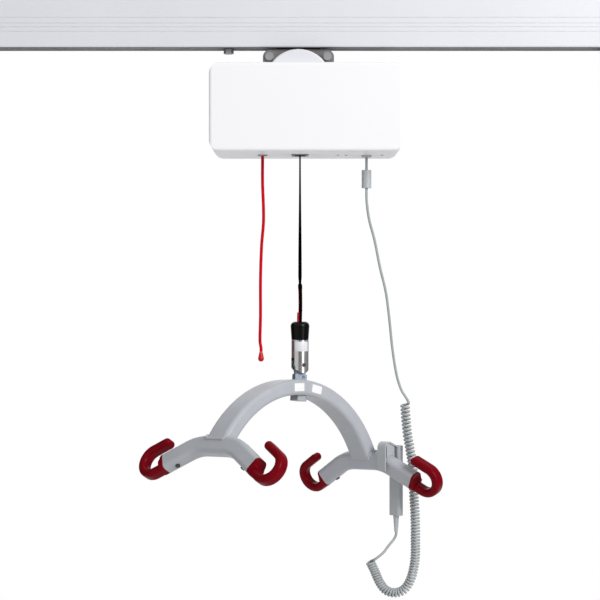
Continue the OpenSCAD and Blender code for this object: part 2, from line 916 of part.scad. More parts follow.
// Casing
module case_solid(inset) {
    w = case_w - 2 * inset;
    d = case_d - 2 * inset;
    h = case_h - 2 * inset;
    edge = max(case_edge_r - inset, 1);
    intersection() {
        along_y(-d / 2, d / 2)
            translate([case_x, case_mid_z])
                round_rect(w, h, case_corner_r - inset);
        translate([case_x - w / 2, 0, 0])
            along_x(w)
                translate([0, case_mid_z])
                    round_rect(d, h, edge);
        translate([case_x, 0, case_mid_z - h / 2])
            linear_extrude(height = h)
                round_rect(w, d, edge);
    }
}
module case_slab(from, to) {
    translate([case_left - over, from, case_low - over])
        cube([case_w + 2 * over, to - from, case_h + 2 * over]);
}
module at_posts() {
    for (x = [case_left + case_wall + post_r - post_sink, case_right - case_wall - post_r + post_sink])
        for (side = [-1, 1])
            translate([x, 0, case_mid_z + side * post_pitch / 2])
                children();
}
module front_cover() {
    color("white")
        difference() {
            union() {
                difference() {
                    intersection() {
                        case_solid(0);
                        case_slab(case_front - over, case_split);
                    }
                    intersection() {
                        case_solid(case_wall);
                        case_slab(case_front - over, case_split + over);
                    }
                }
                at_posts()
                    rod_y(0, 0, case_split - post_len, case_split, 2 * post_r);
                for (x = board_x, z = board_z)
                    translate([
                        x + (x > 0 ? -board_hole : board_hole),
                        0,
                        z + (z > case_mid_z ? -board_hole : board_hole)
                    ])
                        rod_y(0, 0, case_front + case_wall - post_sink, board_y, post_r);
            }
            at_posts()
                rod_y(0, 0, case_split - screw_depth, case_split + over, screw_d + 2 * fit_gap);
            for (side = [-1, 1], face = [-1, 1])
                translate([
                    yoke_x + side * ear_half - ear_r - slide_gap,
                    (face > 0 ? plate_in : -plate_out) - slide_gap,
                    case_top - case_wall - over
                ])
                    cube([2 * (ear_r + slide_gap), plate_t + 2 * slide_gap, case_wall + 2 * over]);
            translate([-guide_x / 2, -guide_y / 2, case_low - over])
                cube([guide_x, guide_y, case_wall + 2 * over]);
            translate([cord_x, cord_y, case_low - over])
                cylinder(d = eyelet_d, h = case_wall + 2 * over);
            translate([socket_x, socket_y, case_low - over])
                cylinder(d = socket_d, h = case_wall + 2 * over);
            for (x = light_places)
                translate([x, light_y, case_low - over])
                    cylinder(d = light_d, h = case_wall + 2 * over);
        }
}
module rear_cover() {
    color("white")
        difference() {
            union() {
                difference() {
                    intersection() {
                        case_solid(0);
                        case_slab(case_split, case_back + over);
                    }
                    intersection() {
                        case_solid(case_wall);
                        case_slab(case_split - over, case_back + over);
                    }
                }
                at_posts()
                    rod_y(0, 0, case_split, case_back - case_wall + post_sink, 2 * post_r);
            }
            at_posts() {
                rod_y(0, 0, case_split - over, case_back + over, screw_d + 2 * fit_gap);
                rod_y(0, 0, case_back - screw_head_h, case_back + over, screw_head_d + 2 * slide_gap);
            }
        }
}
module cover_screws() {
    color("silver")
        at_posts() {
            rod_y(0, 0, case_split - screw_depth, case_back - screw_head_h, screw_d);
            rod_y(0, 0, case_back - screw_head_h, case_back, screw_head_d);
        }
}
module dome_profile(inset) {
    translate([0, inset])
        square([dome_r - dome_rim_r, dome_t - inset]);
    translate([0, dome_rim_r])
        square([dome_r - inset, dome_t - dome_rim_r]);
    translate([dome_r - dome_rim_r, dome_rim_r])
        circle(r = dome_rim_r - inset);
}
module dome_cover() {
    color("whitesmoke")
        difference() {
            translate([yoke_x, dome_y - dome_t, dome_z])
                rotate([-90, 0, 0])
                    difference() {
                        rotate_extrude()
                            dome_profile(0);
                        translate([0, 0, over])
                            rotate_extrude()
                                dome_profile(dome_wall - over / 2);
                    }
            translate([yoke_x - dome_r - over, dome_y - dome_t - over, case_top - 2 * dome_r])
                cube([2 * (dome_r + over), dome_t + 2 * over, 2 * dome_r]);
        }
}

// Drum and gears
module at_drum() {
    translate([drum_x, 0, drum_z])
        children();
}
module strap_drum() {
    color("darkgray")
        at_drum()
            difference() {
                union() {
                    rod_y(0, 0, -drum_side, drum_side, 2 * core_r);
                    for (side = [-1, 1])
                        translate([0, side * (drum_in + flange_t / 2), 0])
                            rod_y(0, 0, -flange_t / 2, flange_t / 2, 2 * flange_r);
                }
                rod_y(0, 0, -drum_side - over, drum_side + over, shaft_d + 2 * run_gap);
            }
}
module drum_strap() {
    color("black")
        at_drum()
            difference() {
                rod_y(0, 0, -strap_w / 2, strap_w / 2, 2 * wind_r);
                rod_y(0, 0, -strap_w, strap_w, 2 * (core_r + fit_gap));
            }
}
// Involute tooth flanks from the root or the base circle, whichever is larger, to the tip
function involute(base, t) =
    base * [cos(t) + t * PI / 180 * sin(t), sin(t) - t * PI / 180 * cos(t)];
function turn_flat(a, p) = [p[0] * cos(a) - p[1] * sin(a), p[0] * sin(a) + p[1] * cos(a)];
module gear_outline(teeth, play) {
    pitch = gear_m * teeth / 2;
    base = pitch * cos(gear_pressure);
    tip = pitch + gear_m;
    root = pitch - gear_foot * gear_m;
    root_turn = sqrt(max(0, root * root / base / base - 1)) * 180 / PI;
    tip_turn = sqrt(tip * tip / base / base - 1) * 180 / PI;
    half = 90 / teeth - play / pitch * 90 / PI + tan(gear_pressure) * 180 / PI - gear_pressure;
    flank = [
        for (k = [0 : flank_steps])
            turn_flat(-half, involute(base, root_turn + (tip_turn - root_turn) * k / flank_steps))
    ];
    side = concat(root < base ? [root * [cos(half), -sin(half)]] : [], flank);
    tooth = concat(side, [for (k = [len(side) - 1 : -1 : 0]) [side[k][0], -side[k][1]]]);
    polygon([for (t = [0 : teeth - 1]) for (p = tooth) turn_flat(360 * t / teeth, p)]);
}
module drum_gear() {
    color("goldenrod")
        at_drum()
            difference() {
                along_y(drum_side, drum_side + gear_w)
                    gear_outline(drum_teeth, gear_play);
                rod_y(0, 0, drum_side - over, drum_side + gear_w + over, shaft_d + 2 * run_gap);
            }
}
module drive_pinion() {
    mesh_turn = pinion_teeth % 2 == 0 ? 180 / pinion_teeth : 0;
    color("darkgoldenrod")
        translate([pinion_x, 0, drum_z]) {
            along_y(drum_side, drum_side + gear_w)
                rotate(mesh_turn)
                    gear_outline(pinion_teeth, gear_play);
            rod_y(0, 0, gearbox_back - slide_gap - pinion_shaft_d, drum_side + gear_w / 2, pinion_shaft_d);
        }
}
module drum_shaft() {
    color("silver")
        at_drum()
            rod_y(0, 0, -shaft_half, shaft_half, shaft_d);
}
module drum_bearings() {
    color("lightgray")
        at_drum()
            for (side = [-1, 1])
                translate([0, side * (plate_in + plate_t / 2), 0])
                    difference() {
                        rod_y(0, 0, -bearing_w / 2, bearing_w / 2, bearing_d);
                        rod_y(0, 0, -bearing_w, bearing_w, shaft_d + 2 * run_gap);
                    }
}
module gearbox() {
    color("gray")
        difference() {
            translate([gearbox_left, -plate_in, drum_z - gearbox_h / 2])
                cube([gearbox_w, plate_in + gearbox_back, gearbox_h]);
            rod_y(
                pinion_x, drum_z,
                gearbox_back - 2 * pinion_shaft_d, gearbox_back + over,
                pinion_shaft_d + 2 * run_gap
            );
        }
}
module motor() {
    color("dimgray") {
        rod_x(motor_y, drum_z, gearbox_right, gearbox_right + motor_len, motor_d);
        rod_x(
            motor_y, drum_z,
            gearbox_right + motor_len, gearbox_right + motor_len + motor_cap_t,
            motor_cap_d
        );
    }
}
module battery_packs() {
    color("darkslategray")
        for (side = [-1, 1])
            translate([battery_left + battery_x / 2, side * (battery_y + battery_space) / 2, floor_z])
                linear_extrude(height = battery_z)
                    round_rect(battery_x, battery_y, battery_r);
}
module control_board() {
    chip = [36, 5, 24];
    relay = [18, 12, 16];
    color("darkgreen") {
        along_y(board_y, board_y + board_t)
            translate([board_x[0], board_z[0]])
                square([board_x[1] - board_x[0], board_z[1] - board_z[0]]);
        translate([board_x[0] + chip[0], board_y + board_t, case_mid_z])
            cube(chip);
        for (k = [0 : 2])
            translate([board_x[1] - (k + 1) * 2 * relay[0], board_y + board_t, case_mid_z])
                cube(relay);
    }
}

// Underside fittings
module strap_guide() {
    flange = [guide_x + 2 * guide_flange, guide_y + 2 * guide_flange];
    body = [guide_x - 2 * fit_gap, guide_y - 2 * fit_gap];
    inside = [guide_x - 2 * guide_t, guide_y - 2 * guide_t];
    color("dimgray")
        difference() {
            union() {
                translate([-flange[0] / 2, -flange[1] / 2, guide_low])
                    cube([flange[0], flange[1], case_low - guide_low]);
                translate([-body[0] / 2, -body[1] / 2, guide_low])
                    cube([body[0], body[1], floor_z + guide_t - guide_low]);
            }
            translate([-inside[0] / 2, -inside[1] / 2, guide_low - over])
                cube([inside[0], inside[1], floor_z + guide_t - guide_low + 2 * over]);
        }
}
module cord_eyelet() {
    color("gainsboro")
        translate([cord_x, cord_y, 0])
            difference() {
                union() {
                    translate([0, 0, eyelet_low])
                        cylinder(d = eyelet_d + 2 * guide_t, h = case_low - eyelet_low);
                    translate([0, 0, eyelet_low])
                        cylinder(d = eyelet_d - 2 * fit_gap, h = floor_z - eyelet_low);
                }
                translate([0, 0, eyelet_low - over])
                    cylinder(d = pull_d + 2 * slide_gap, h = floor_z - eyelet_low + 2 * over);
            }
}
module cable_socket() {
    color("gray")
        translate([socket_x, socket_y, 0]) {
            translate([0, 0, case_low])
                cylinder(d = socket_d - 2 * fit_gap, h = case_wall + guide_t);
            translate([0, 0, socket_low])
                cylinder(d1 = socket_d, d2 = socket_d + 2 * guide_t, h = case_low - socket_low);
        }
}
module indicator_lights() {
    color("dimgray")
        for (x = light_places)
            translate([x, light_y, case_low - over])
                cylinder(d = light_d - 2 * fit_gap, h = case_wall + over);
}

// Emergency lever, cord and knob
module brake_lever() {
    half = lever_t / 2;
    color("firebrick")
        difference() {
            union() {
                rod_y(lever_x, lever_z, -lever_hub_r, lever_hub_r, 2 * lever_hub_r);
                translate([lever_x - lever_arm, -half, lever_z - lever_r])
                    cube([lever_arm, lever_t, 2 * lever_r]);
                rod_y(lever_x - lever_arm, lever_z, -half, half, 2 * lever_r);
                translate([lever_x, -half, lever_z])
                    cube([lever_r, lever_t, lever_back]);
            }
            rod_y(lever_x, lever_z, -lever_hub_r - over, lever_hub_r + over, rod_d + 2 * fit_gap);
        }
}
module emergency_cord() {
    color("crimson")
        cord(pull_route, pull_d);
}
module cord_knob() {
    end = pull_route[len(pull_route) - 1];
    color("crimson")
        translate(end - [0, 0, cord_gap]) {
            translate([0, 0, -knob_r - knob_len]) {
                sphere(r = knob_r);
                translate([0, 0, knob_r * sin(knob_taper)])
                    cylinder(
                        r1 = knob_r * cos(knob_taper),
                        r2 = knob_top_r,
                        h = knob_len + knob_r * (1 - sin(knob_taper))
                    );
            }
        }
}

// Strap and coupling
module lifting_strap() {
    color("black")
        difference() {
            union() {
                translate([-strap_t / 2, -strap_w / 2, strap_pin_z])
                    cube([strap_t, strap_w, drum_z - strap_pin_z]);
                rod_y(0, strap_pin_z, -strap_w / 2, strap_w / 2, 2 * loop_out_r);
            }
            rod_y(0, strap_pin_z, -strap_w, strap_w, 2 * loop_in_r);
        }
}
module strap_cap() {
    color("black")
        difference() {
            rotate_extrude() {
                polygon([
                    [head_r + fit_gap, cap_low],
                    [cap_low_r, cap_low],
                    [cap_top_r, cap_top - cap_edge_r],
                    [cap_top_r - cap_edge_r, cap_top],
                    [0, cap_top],
                    [0, cap_top - cap_wall],
                    [head_r + fit_gap, cap_top - cap_wall]
                ]);
                translate([cap_top_r - cap_edge_r, cap_top - cap_edge_r])
                    circle(r = cap_edge_r);
            }
            translate([-cap_slot_t / 2, -strap_w / 2 - slide_gap, cap_top - cap_wall - over])
                cube([cap_slot_t, strap_w + 2 * slide_gap, cap_wall + 2 * over]);
            translate([0, 0, cap_low - over])
                cylinder(r = head_r + fit_gap, h = cap_h - cap_wall + over);
        }
}
module strap_pin() {
    color("silver")
        rod_y(0, strap_pin_z, -head_r + slide_gap, head_r - slide_gap, strap_pin_d);
}
module coupling_spindle() {
    color("lightgray")
        difference() {
            union() {
                translate([0, 0, head_low])
                    cylinder(r = head_r, h = head_top - head_low);
                translate([0, 0, shank_low])
                    cylinder(d = shank_d, h = head_low - shank_low);
                translate([0, 0, shank_low])
                    cylinder(d = shank_end_d, h = shank_end_t);
            }
            translate([-head_slot / 2, -strap_w / 2 - seat_gap, strap_pin_z - loop_out_r - over])
                cube([head_slot, strap_w + 2 * seat_gap, head_top - strap_pin_z + loop_out_r + 2 * over]);
            rod_y(0, strap_pin_z, -head_r - over, head_r + over, strap_pin_d + 2 * run_gap);
        }
}
module thrust_bearing() {
    color("silver")
        difference() {
            translate([0, 0, shank_low + shank_end_t])
                cylinder(d = shank_end_d, h = bearing_h);
            translate([0, 0, shank_low])
                cylinder(d = shank_d + 2 * fit_gap, h = shank_end_t + bearing_h + over);
        }
}

// Swivel housing with its fork, and the tilt ball
module at_pivot() {
    translate(pivot)
        rotate([0, 0, fork_turn])
            children();
}
module swivel_housing() {
    color("silver")
        difference() {
            translate([0, 0, pivot[2]])
                cylinder(r = housing_r, h = housing_top - pivot[2]);
            translate([0, 0, cavity_top - over])
                cylinder(d = shank_d + 2 * run_gap, h = housing_plate + 2 * over);
            translate([0, 0, cavity_low])
                cylinder(r = cavity_r, h = cavity_top - cavity_low);
            at_fork_slot();
            at_pivot()
                rod_y(0, 0, -housing_r - over, housing_r + over, fork_pin_d + 2 * run_gap);
        }
    color("silver")
        difference() {
            intersection() {
                translate([0, 0, pivot[2] - tine_r])
                    cylinder(r = housing_r, h = tine_r);
                at_pivot()
                    rod_y(0, 0, -housing_r, housing_r, 2 * tine_r);
            }
            at_fork_slot();
            at_pivot()
                rod_y(0, 0, -housing_r - over, housing_r + over, fork_pin_d + 2 * run_gap);
        }
}
module at_fork_slot() {
    at_pivot()
        translate([-housing_r - over, -fork_slot / 2, -tine_r - over])
            cube([2 * (housing_r + over), fork_slot, fork_top - pivot[2] + tine_r + over]);
}
module fork_pin() {
    pin_half = housing_r - 2;
    color("dimgray")
        at_pivot()
            rod_y(0, 0, -pin_half, pin_half, fork_pin_d);
}
module tilt_ball() {
    color("goldenrod")
        at_pivot()
            rotate([0, tilt_side, 0])
                difference() {
                    intersection() {
                        sphere(r = ball_r);
                        cube([3 * ball_r, 2 * ball_half, 3 * ball_r], center = true);
                    }
                    rod_y(0, 0, -ball_r, ball_r, fork_pin_d + 2 * run_gap);
                }
}

// Spreader bar
module in_lug() {
    at_pivot()
        rotate([0, tilt_side, 0])
            rotate([tilt_fore, 0, 0])
                children();
}
module in_bar() {
    in_lug()
        rotate([0, 0, bar_turn])
            children();
}
module bar_lug() {
    color("lightsteelblue")
        difference() {
            union() {
                in_lug()
                    difference() {
                        union() {
                            rod_y(0, 0, -eye_t / 2, eye_t / 2, 2 * eye_r);
                            translate([-tongue_w / 2, -eye_t / 2, -lug_top_drop - over])
                                cube([tongue_w, eye_t, lug_top_drop - ball_r]);
                            translate([-lug_w / 2, -lug_d / 2, -arch_top_drop - over])
                                cube([lug_w, lug_d, arch_top_drop + over - lug_top_drop]);
                        }
                        sphere(r = ball_r + eye_gap);
                    }
            }
            in_bar()
                translate([0, 0, -arch_drop - arch_mid_r])
                    rod_y(0, 0, -arch_w, arch_w, 2 * arch_mid_r + arch_t);
        }
    color("lightsteelblue")
        in_lug()
            translate([0, 0, -arch_top_drop - arch_t - lug_nut_gap - lug_nut_h])
                cylinder(d = lug_shank_d, h = arch_t + lug_nut_gap + lug_nut_h + over / 2);
}
module lug_nut() {
    color("lightsteelblue")
        in_lug()
            difference() {
                translate([0, 0, -arch_top_drop - arch_t - lug_nut_gap - lug_nut_h])
                    cylinder(d = lug_nut_d, h = lug_nut_h, $fn = 6);
                translate([0, 0, -arch_top_drop - arch_t - lug_nut_gap - lug_nut_h - over])
                    cylinder(d = lug_shank_d + 2 * fit_gap, h = lug_nut_h + 2 * over);
            }
}
module arch_solid(inset) {
    translate([0, 0, -arch_drop - arch_mid_r])
        rotate([90, 0, 0])
            rotate([0, 0, 90 - arch_end - arch_extra])
                rotate_extrude(angle = 2 * (arch_end + arch_extra))
                    translate([arch_mid_r, 0])
                        round_rect(arch_t - 2 * inset, arch_w - 2 * inset, arch_r - inset);
}
module arch_tube() {
    color("darkgray")
        in_bar()
            difference() {
                arch_solid(0);
                arch_solid(tube_wall);
                for (side = [-1, 1])
                    at_cross(side)
                        cross_solid(0, 0);
                translate([0, 0, -cross_drop])
                    cylinder(d = lug_shank_d + 2 * fit_gap, h = cross_drop);
            }
}
module cross_profile(inset) {
    round_rect(cross_w - 2 * inset, cross_h - 2 * inset, cross_r - inset);
}
// The straight lengths are a hair smaller than the bends and run a little way into them
module cross_end(inset, run) {
    translate([0, cross_flat, -cross_bend_r])
        rotate([90, 0, 90])
            rotate([0, 0, 90 - cross_bend])
                rotate_extrude(angle = cross_bend)
                    translate([cross_bend_r, 0])
                        rotate(90)
                            cross_profile(inset);
    translate([0, cross_flat + bend_run, -bend_fall])
        rotate([-cross_bend, 0, 0])
            along_y(-splice_lap, end_len + run)
                cross_profile(inset + splice_step);
}
module cross_solid(inset, run) {
    along_y(-cross_flat - splice_lap, cross_flat + splice_lap)
        cross_profile(inset + splice_step);
    cross_end(inset, run);
    mirror([0, 1, 0])
        cross_end(inset, run);
}
// The end of a crossbar's tube: Y points out along the tube, Z to its upper side
module at_tube_end(end) {
    mirror([0, end > 0 ? 0 : 1, 0])
        translate([0, cross_half, -end_fall])
            rotate([-cross_bend, 0, 0])
                children();
}
module at_cross(side) {
    translate([side * bar_half, 0, -cross_drop])
        rotate([0, -side * cross_roll, 0])
            children();
}
module crossbar(side) {
    color("darkgray")
        in_bar()
            at_cross(side)
                difference() {
                    cross_solid(0, 0);
                    cross_solid(tube_wall, over);
                    for (end = [-1, 1])
                        at_tube_end(end)
                            translate([0, -hook_screw_at, -cross_h])
                                cylinder(d = hook_screw_d + 2 * fit_gap, h = cross_h);
                }
}
module left_crossbar() {
    crossbar(-1);
}
module right_crossbar() {
    crossbar(1);
}
module band_profile() {
    round_rect(hook_w, hook_t, hook_r);
}
// Half of the band's outline, to be swung round the tip
module band_half() {
    intersection() {
        band_profile();
        translate([-hook_w, -hook_t])
            square([2 * hook_w, hook_t]);
    }
}
module hook() {
    difference() {
        along_y(0, sleeve_len)
            cross_profile(0);
        translate([0, hook_reach, hook_mid])
            rotate([0, 90, 0])
                cylinder(r = dish_r, h = 2 * cross_w, center = true);
        translate([-cross_w, -over, hook_high - hook_t / 2 - over])
            cube([2 * cross_w, hook_reach, cross_h]);
    }
    along_y(0, hook_reach)
        translate([0, hook_low])
            band_profile();
    translate([0, hook_reach, hook_mid])
        rotate([90, 0, 90])
            rotate([0, 0, -90])
                rotate_extrude(angle = 180)
                    translate([hook_bend_r, 0])
                        rotate(90)
                            band_profile();
    along_y(-hook_tip, hook_reach)
        translate([0, hook_high])
            band_profile();
    translate([0, -hook_tip, hook_high])
        rotate([90, 0, 90])
            rotate([0, 0, 90])
                rotate_extrude(angle = 180)
                    rotate(90)
                        band_half();
}
module hook_spigot() {
    difference() {
        along_y(-spigot_len, 0)
            cross_profile(tube_wall + spigot_gap);
        translate([0, -hook_screw_at, -cross_h])
            cylinder(d = hook_screw_d + 2 * fit_gap, h = cross_h);
    }
}
module hook_pair(side) {
    color("firebrick")
        in_bar()
            at_cross(side)
                for (end = [-1, 1])
                    at_tube_end(end) {
                        hook();
                        hook_spigot();
                    }
}
module left_hooks() {
    hook_pair(-1);
}
module right_hooks() {
    hook_pair(1);
}
module hook_screws() {
    color("black")
        in_bar()
            for (side = [-1, 1], end = [-1, 1])
                at_cross(side)
                    at_tube_end(end)
                        translate([0, -hook_screw_at, -cross_h / 2]) {
                            cylinder(d = hook_screw_d, h = hook_screw_len);
                            translate([0, 0, -hook_screw_head_t])
                                cylinder(d = hook_screw_head_d, h = hook_screw_head_t);
                        }
}

// Handset: X points away from the bar, Y along it
module at_handset() {
    translate(handset_mid)
        rotate([0, 0, bar_yaw])
            children();
}
module handset_body(inset) {
    translate([handset_seam, 0, -handset_down + inset])
        linear_extrude(height = body_up + handset_down - 2 * inset)
            round_rect(handset_t - 2 * inset, handset_w - 2 * inset, handset_r - inset);
}
module handset_half(from, to) {
    intersection() {
        difference() {
            handset_body(0);
            handset_body(handset_wall);
        }
        translate([from, -handset_w, -handset_down - over])
            cube([to - from, 2 * handset_w, body_up + handset_down + 2 * over]);
    }
}
// The clip seen along the crossbar: a leg, a rounded shoulder and a roof that falls to the handset's top
module clip_outline(inset) {
    left = -handset_in - clip_t + inset;
    hull() {
        translate([left, leg_low])
            square([clip_t, clip_t]);
        translate([left + clip_r - inset, handset_up - clip_r])
            circle(r = clip_r - inset);
        translate([handset_in, body_up - clip_t - inset])
            square([handset_wall / 2, clip_t]);
        translate([handset_in, leg_low])
            square([handset_wall / 2, clip_t]);
    }
}
module clip_slice(half) {
    rotate([90, 0, 0])
        linear_extrude(height = 2 * half, center = true)
            children();
}
module handset_clip() {
    clip_slice(clip_w / 2)
        difference() {
            clip_outline(0);
            clip_outline(clip_t);
            translate([-handset_in, leg_low - over])
                square([3 * handset_in, clip_t + 2 * over]);
        }
    for (side = [-1, 1])
        translate([0, side * rib_y, 0])
            clip_slice(rib_t / 2)
                intersection() {
                    clip_outline(clip_t / 2);
                    translate([-rib_half, 0])
                        square([2 * rib_half, handset_up]);
                }
}
module handset_back() {
    color("silver")
        difference() {
            at_handset() {
                handset_half(0, handset_seam);
                handset_clip();
                for (z = [board_up - rib_y, -board_down + rib_y])
                    rod_x(0, z, handset_in + handset_wall / 2, handset_in + handset_wall + board_in, rib_y);
            }
            in_bar()
                at_cross(1)
                    cross_solid(-clip_gap, 0);
        }
}
module button_hole(z) {
    translate([handset_out - handset_wall - over, 0, z])
        rotate([90, 0, 90])
            linear_extrude(height = handset_wall + 2 * over)
                round_rect(button_w + 2 * button_play, button_h + 2 * button_play, button_r + button_play);
}
module handset_front() {
    color("silver")
        at_handset()
            difference() {
                handset_half(handset_seam, handset_out + over);
                for (z = button_z)
                    button_hole(z);
            }
}
module handset_board() {
    color("darkgreen")
        at_handset()
            translate([handset_in + handset_wall + board_in, -board_half, -board_down])
                cube([board_t, 2 * board_half, board_up + board_down]);
}
module button(z) {
    flange_at = handset_out - handset_wall - seat_gap;
    color("dimgray")
        at_handset()
            translate([0, 0, z]) {
                translate([flange_at - over / 2, 0, 0])
                    along_x(handset_out + button_out - flange_at + over / 2)
                        round_rect(button_w, button_h, button_r);
                translate([flange_at - button_flange_t, 0, 0])
                    along_x(button_flange_t)
                        round_rect(button_w + 2 * button_flange, button_h + 2 * button_flange, button_r);
            }
}
module up_button() {
    button(button_z[0]);
}
module down_button() {
    button(button_z[1]);
}
module strain_relief() {
    color("gray")
        at_handset()
            translate([handset_seam, 0, -handset_down - relief_len])
                cylinder(d1 = relief_low_d, d2 = relief_top_d, h = relief_len);
}

// Handset cable
module cable_run() {
    color("lightgray") {
        cord(lead_route, cable_d);
        cord(run_route, cable_d);
    }
}
module cable_sleeve() {
    top = lead_route[len(lead_route) - 1];
    color("darkgray")
        translate([top[0], top[1], sleeve_low])
            cylinder(d = sleeve_d, h = sleeve_top - sleeve_low);
}
module coil_cord() {
    color("lightgray")
        tube(curl_points, curl_sides_out, curl_d, curl_sides);
}
module cable_tail() {
    color("lightgray")
        cord(tail_route, cable_d);
}

rail();
rail_end_caps();
end_stops();
stop_buffers();
stop_bolts();
trolley_body();
wheel_axles();
left_wheels();
right_wheels();
yoke();
yoke_bolts();
chassis_plates();
chassis_rods();
front_cover();
rear_cover();
dome_cover();
cover_screws();
strap_drum();
drum_strap();
drum_gear();
drum_shaft();
drum_bearings();
drive_pinion();
gearbox();
motor();
battery_packs();
control_board();
strap_guide();
cord_eyelet();
cable_socket();
indicator_lights();
brake_lever();
emergency_cord();
cord_knob();
lifting_strap();
strap_cap();
strap_pin();
coupling_spindle();
thrust_bearing();
swivel_housing();
fork_pin();
tilt_ball();
bar_lug();
lug_nut();
arch_tube();
left_crossbar();
right_crossbar();
left_hooks();
right_hooks();
hook_screws();
handset_back();
handset_front();
handset_board();
up_button();
down_button();
strain_relief();
cable_run();
cable_sleeve();
coil_cord();
cable_tail();
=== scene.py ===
# %% [markdown]
# # A ceiling track hoist
# A white hoist hangs from an aluminium rail on a four-wheel trolley. A strap winds in and out of
# it and carries a swivel, a grey spreader bar and four red hooks. A red emergency cord hangs on
# the left, and a curly cable on the right leads to a handset that is clipped to the bar.
#
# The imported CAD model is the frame: every piece below is in metres, in its axes, with X along the
# rail, Y away from the viewer and Z up. The rigid CAD parts stay and get finishes; the soft ones
# are made anew.

# %% Load the frame
import json
import math
import bpy
import numpy as np
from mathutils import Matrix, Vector

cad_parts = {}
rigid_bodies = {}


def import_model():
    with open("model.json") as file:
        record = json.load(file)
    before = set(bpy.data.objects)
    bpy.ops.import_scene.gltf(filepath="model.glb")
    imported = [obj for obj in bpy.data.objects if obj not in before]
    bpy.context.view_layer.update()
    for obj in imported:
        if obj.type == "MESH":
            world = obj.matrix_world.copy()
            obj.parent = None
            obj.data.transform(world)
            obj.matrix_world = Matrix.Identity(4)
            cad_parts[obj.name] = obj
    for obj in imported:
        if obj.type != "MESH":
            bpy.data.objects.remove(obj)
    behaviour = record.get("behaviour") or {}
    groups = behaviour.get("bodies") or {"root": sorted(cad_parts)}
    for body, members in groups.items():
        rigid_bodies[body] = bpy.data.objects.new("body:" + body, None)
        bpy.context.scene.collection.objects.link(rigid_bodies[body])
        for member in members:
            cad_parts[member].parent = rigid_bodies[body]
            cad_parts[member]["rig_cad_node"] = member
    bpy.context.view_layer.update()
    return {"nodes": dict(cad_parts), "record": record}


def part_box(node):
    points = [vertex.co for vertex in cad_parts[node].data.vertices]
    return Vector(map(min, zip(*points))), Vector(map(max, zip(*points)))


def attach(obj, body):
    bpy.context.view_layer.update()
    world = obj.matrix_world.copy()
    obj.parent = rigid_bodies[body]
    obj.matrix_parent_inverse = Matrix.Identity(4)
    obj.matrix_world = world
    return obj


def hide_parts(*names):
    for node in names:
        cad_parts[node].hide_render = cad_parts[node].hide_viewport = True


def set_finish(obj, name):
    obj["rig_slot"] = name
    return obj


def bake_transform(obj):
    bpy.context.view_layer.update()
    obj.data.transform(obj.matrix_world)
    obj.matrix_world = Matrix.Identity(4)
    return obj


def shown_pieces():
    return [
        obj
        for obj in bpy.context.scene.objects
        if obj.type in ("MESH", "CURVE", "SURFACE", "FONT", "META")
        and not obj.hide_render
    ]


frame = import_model()
scene = bpy.context.scene

# %% [markdown]
# ## Camera
# The photograph looks level along +Y from about three metres, half-way down the object. A long
# lens on a camera that is not tilted keeps the upright edges upright, so only the focal length has
# to be found.

# %% Camera
PHOTO_PX = 600
FOCUS_PX = 1641.0
SENSOR_MM = 36.0
CAMERA_PLACE = (0, -3.2, -0.5987)

lens = bpy.data.cameras.new("photo_camera")
lens.sensor_width = SENSOR_MM
lens.lens = FOCUS_PX / PHOTO_PX * SENSOR_MM
camera = bpy.data.objects.new("photo_camera", lens)
camera.location = CAMERA_PLACE
camera.rotation_euler = (math.pi / 2, 0, 0)
scene.collection.objects.link(camera)
scene.camera = camera
scene.view_settings.view_transform = "Standard"
print("lens", round(lens.lens, 2), "mm")

# %% [markdown]
# ## Routes, tubes and grids
# Cords, straps and weld beads are all the same kind of thing: a flat outline carried along a path.
# Blender's curve objects could do it, but a grid worked out with numpy gives the pattern
# coordinates as well: turns round the outline in U and metres along the path in V, which the braid
# and the weave need.

# %% Paths
def unit(v):
    """Every vector in v divided by its own length."""
    return v / np.linalg.norm(v, axis=-1, keepdims=True)


def smooth_route(points_mm, steps):
    """Catmull-Rom curve in metres: from b to c, of the points a, b, c and d, it is the cubic that
    starts with the slope (c - a) / 2 and ends with the slope (d - b) / 2."""
    p = np.asarray(points_mm, float) / 1000
    i = np.arange(len(p) - 1)
    a, b, c, d = (p[np.clip(i + k, 0, len(p) - 1)][:, None] for k in (-1, 0, 1, 2))
    t = (np.arange(steps) / steps)[None, :, None]
    bend = (2 * a - 5 * b + 4 * c - d) * t**2 + (3 * b - a - 3 * c + d) * t**3
    curve = (2 * b + (c - a) * t + bend) / 2
    return np.vstack([curve.reshape(-1, 3), p[-1:]])


def run_along(path):
    """Distance along the path from its first point to each point: the running sum of its steps."""
    return np.concatenate([[0], np.cumsum(np.linalg.norm(np.diff(path, axis=0), axis=1))])


# %% Outlines
def circle(radius, sides):
    """Circle of points (r cos q, r sin q)."""
    q = np.arange(sides) * 2 * np.pi / sides
    return radius * np.stack([np.cos(q), np.sin(q)], -1)


def round_box(width, height, corner, per_corner=5):
    """Rounded rectangle, anticlockwise: each corner's centre plus a quarter circle."""
    q = (np.arange(4)[:, None] * 90 + np.linspace(0, 90, per_corner)[None]) * np.pi / 180
    sx = np.array([1, -1, -1, 1])[:, None] * (width / 2 - corner)
    sy = np.array([1, 1, -1, -1])[:, None] * (height / 2 - corner)
    return np.stack([sx + corner * np.cos(q), sy + corner * np.sin(q)], -1).reshape(-1, 2)


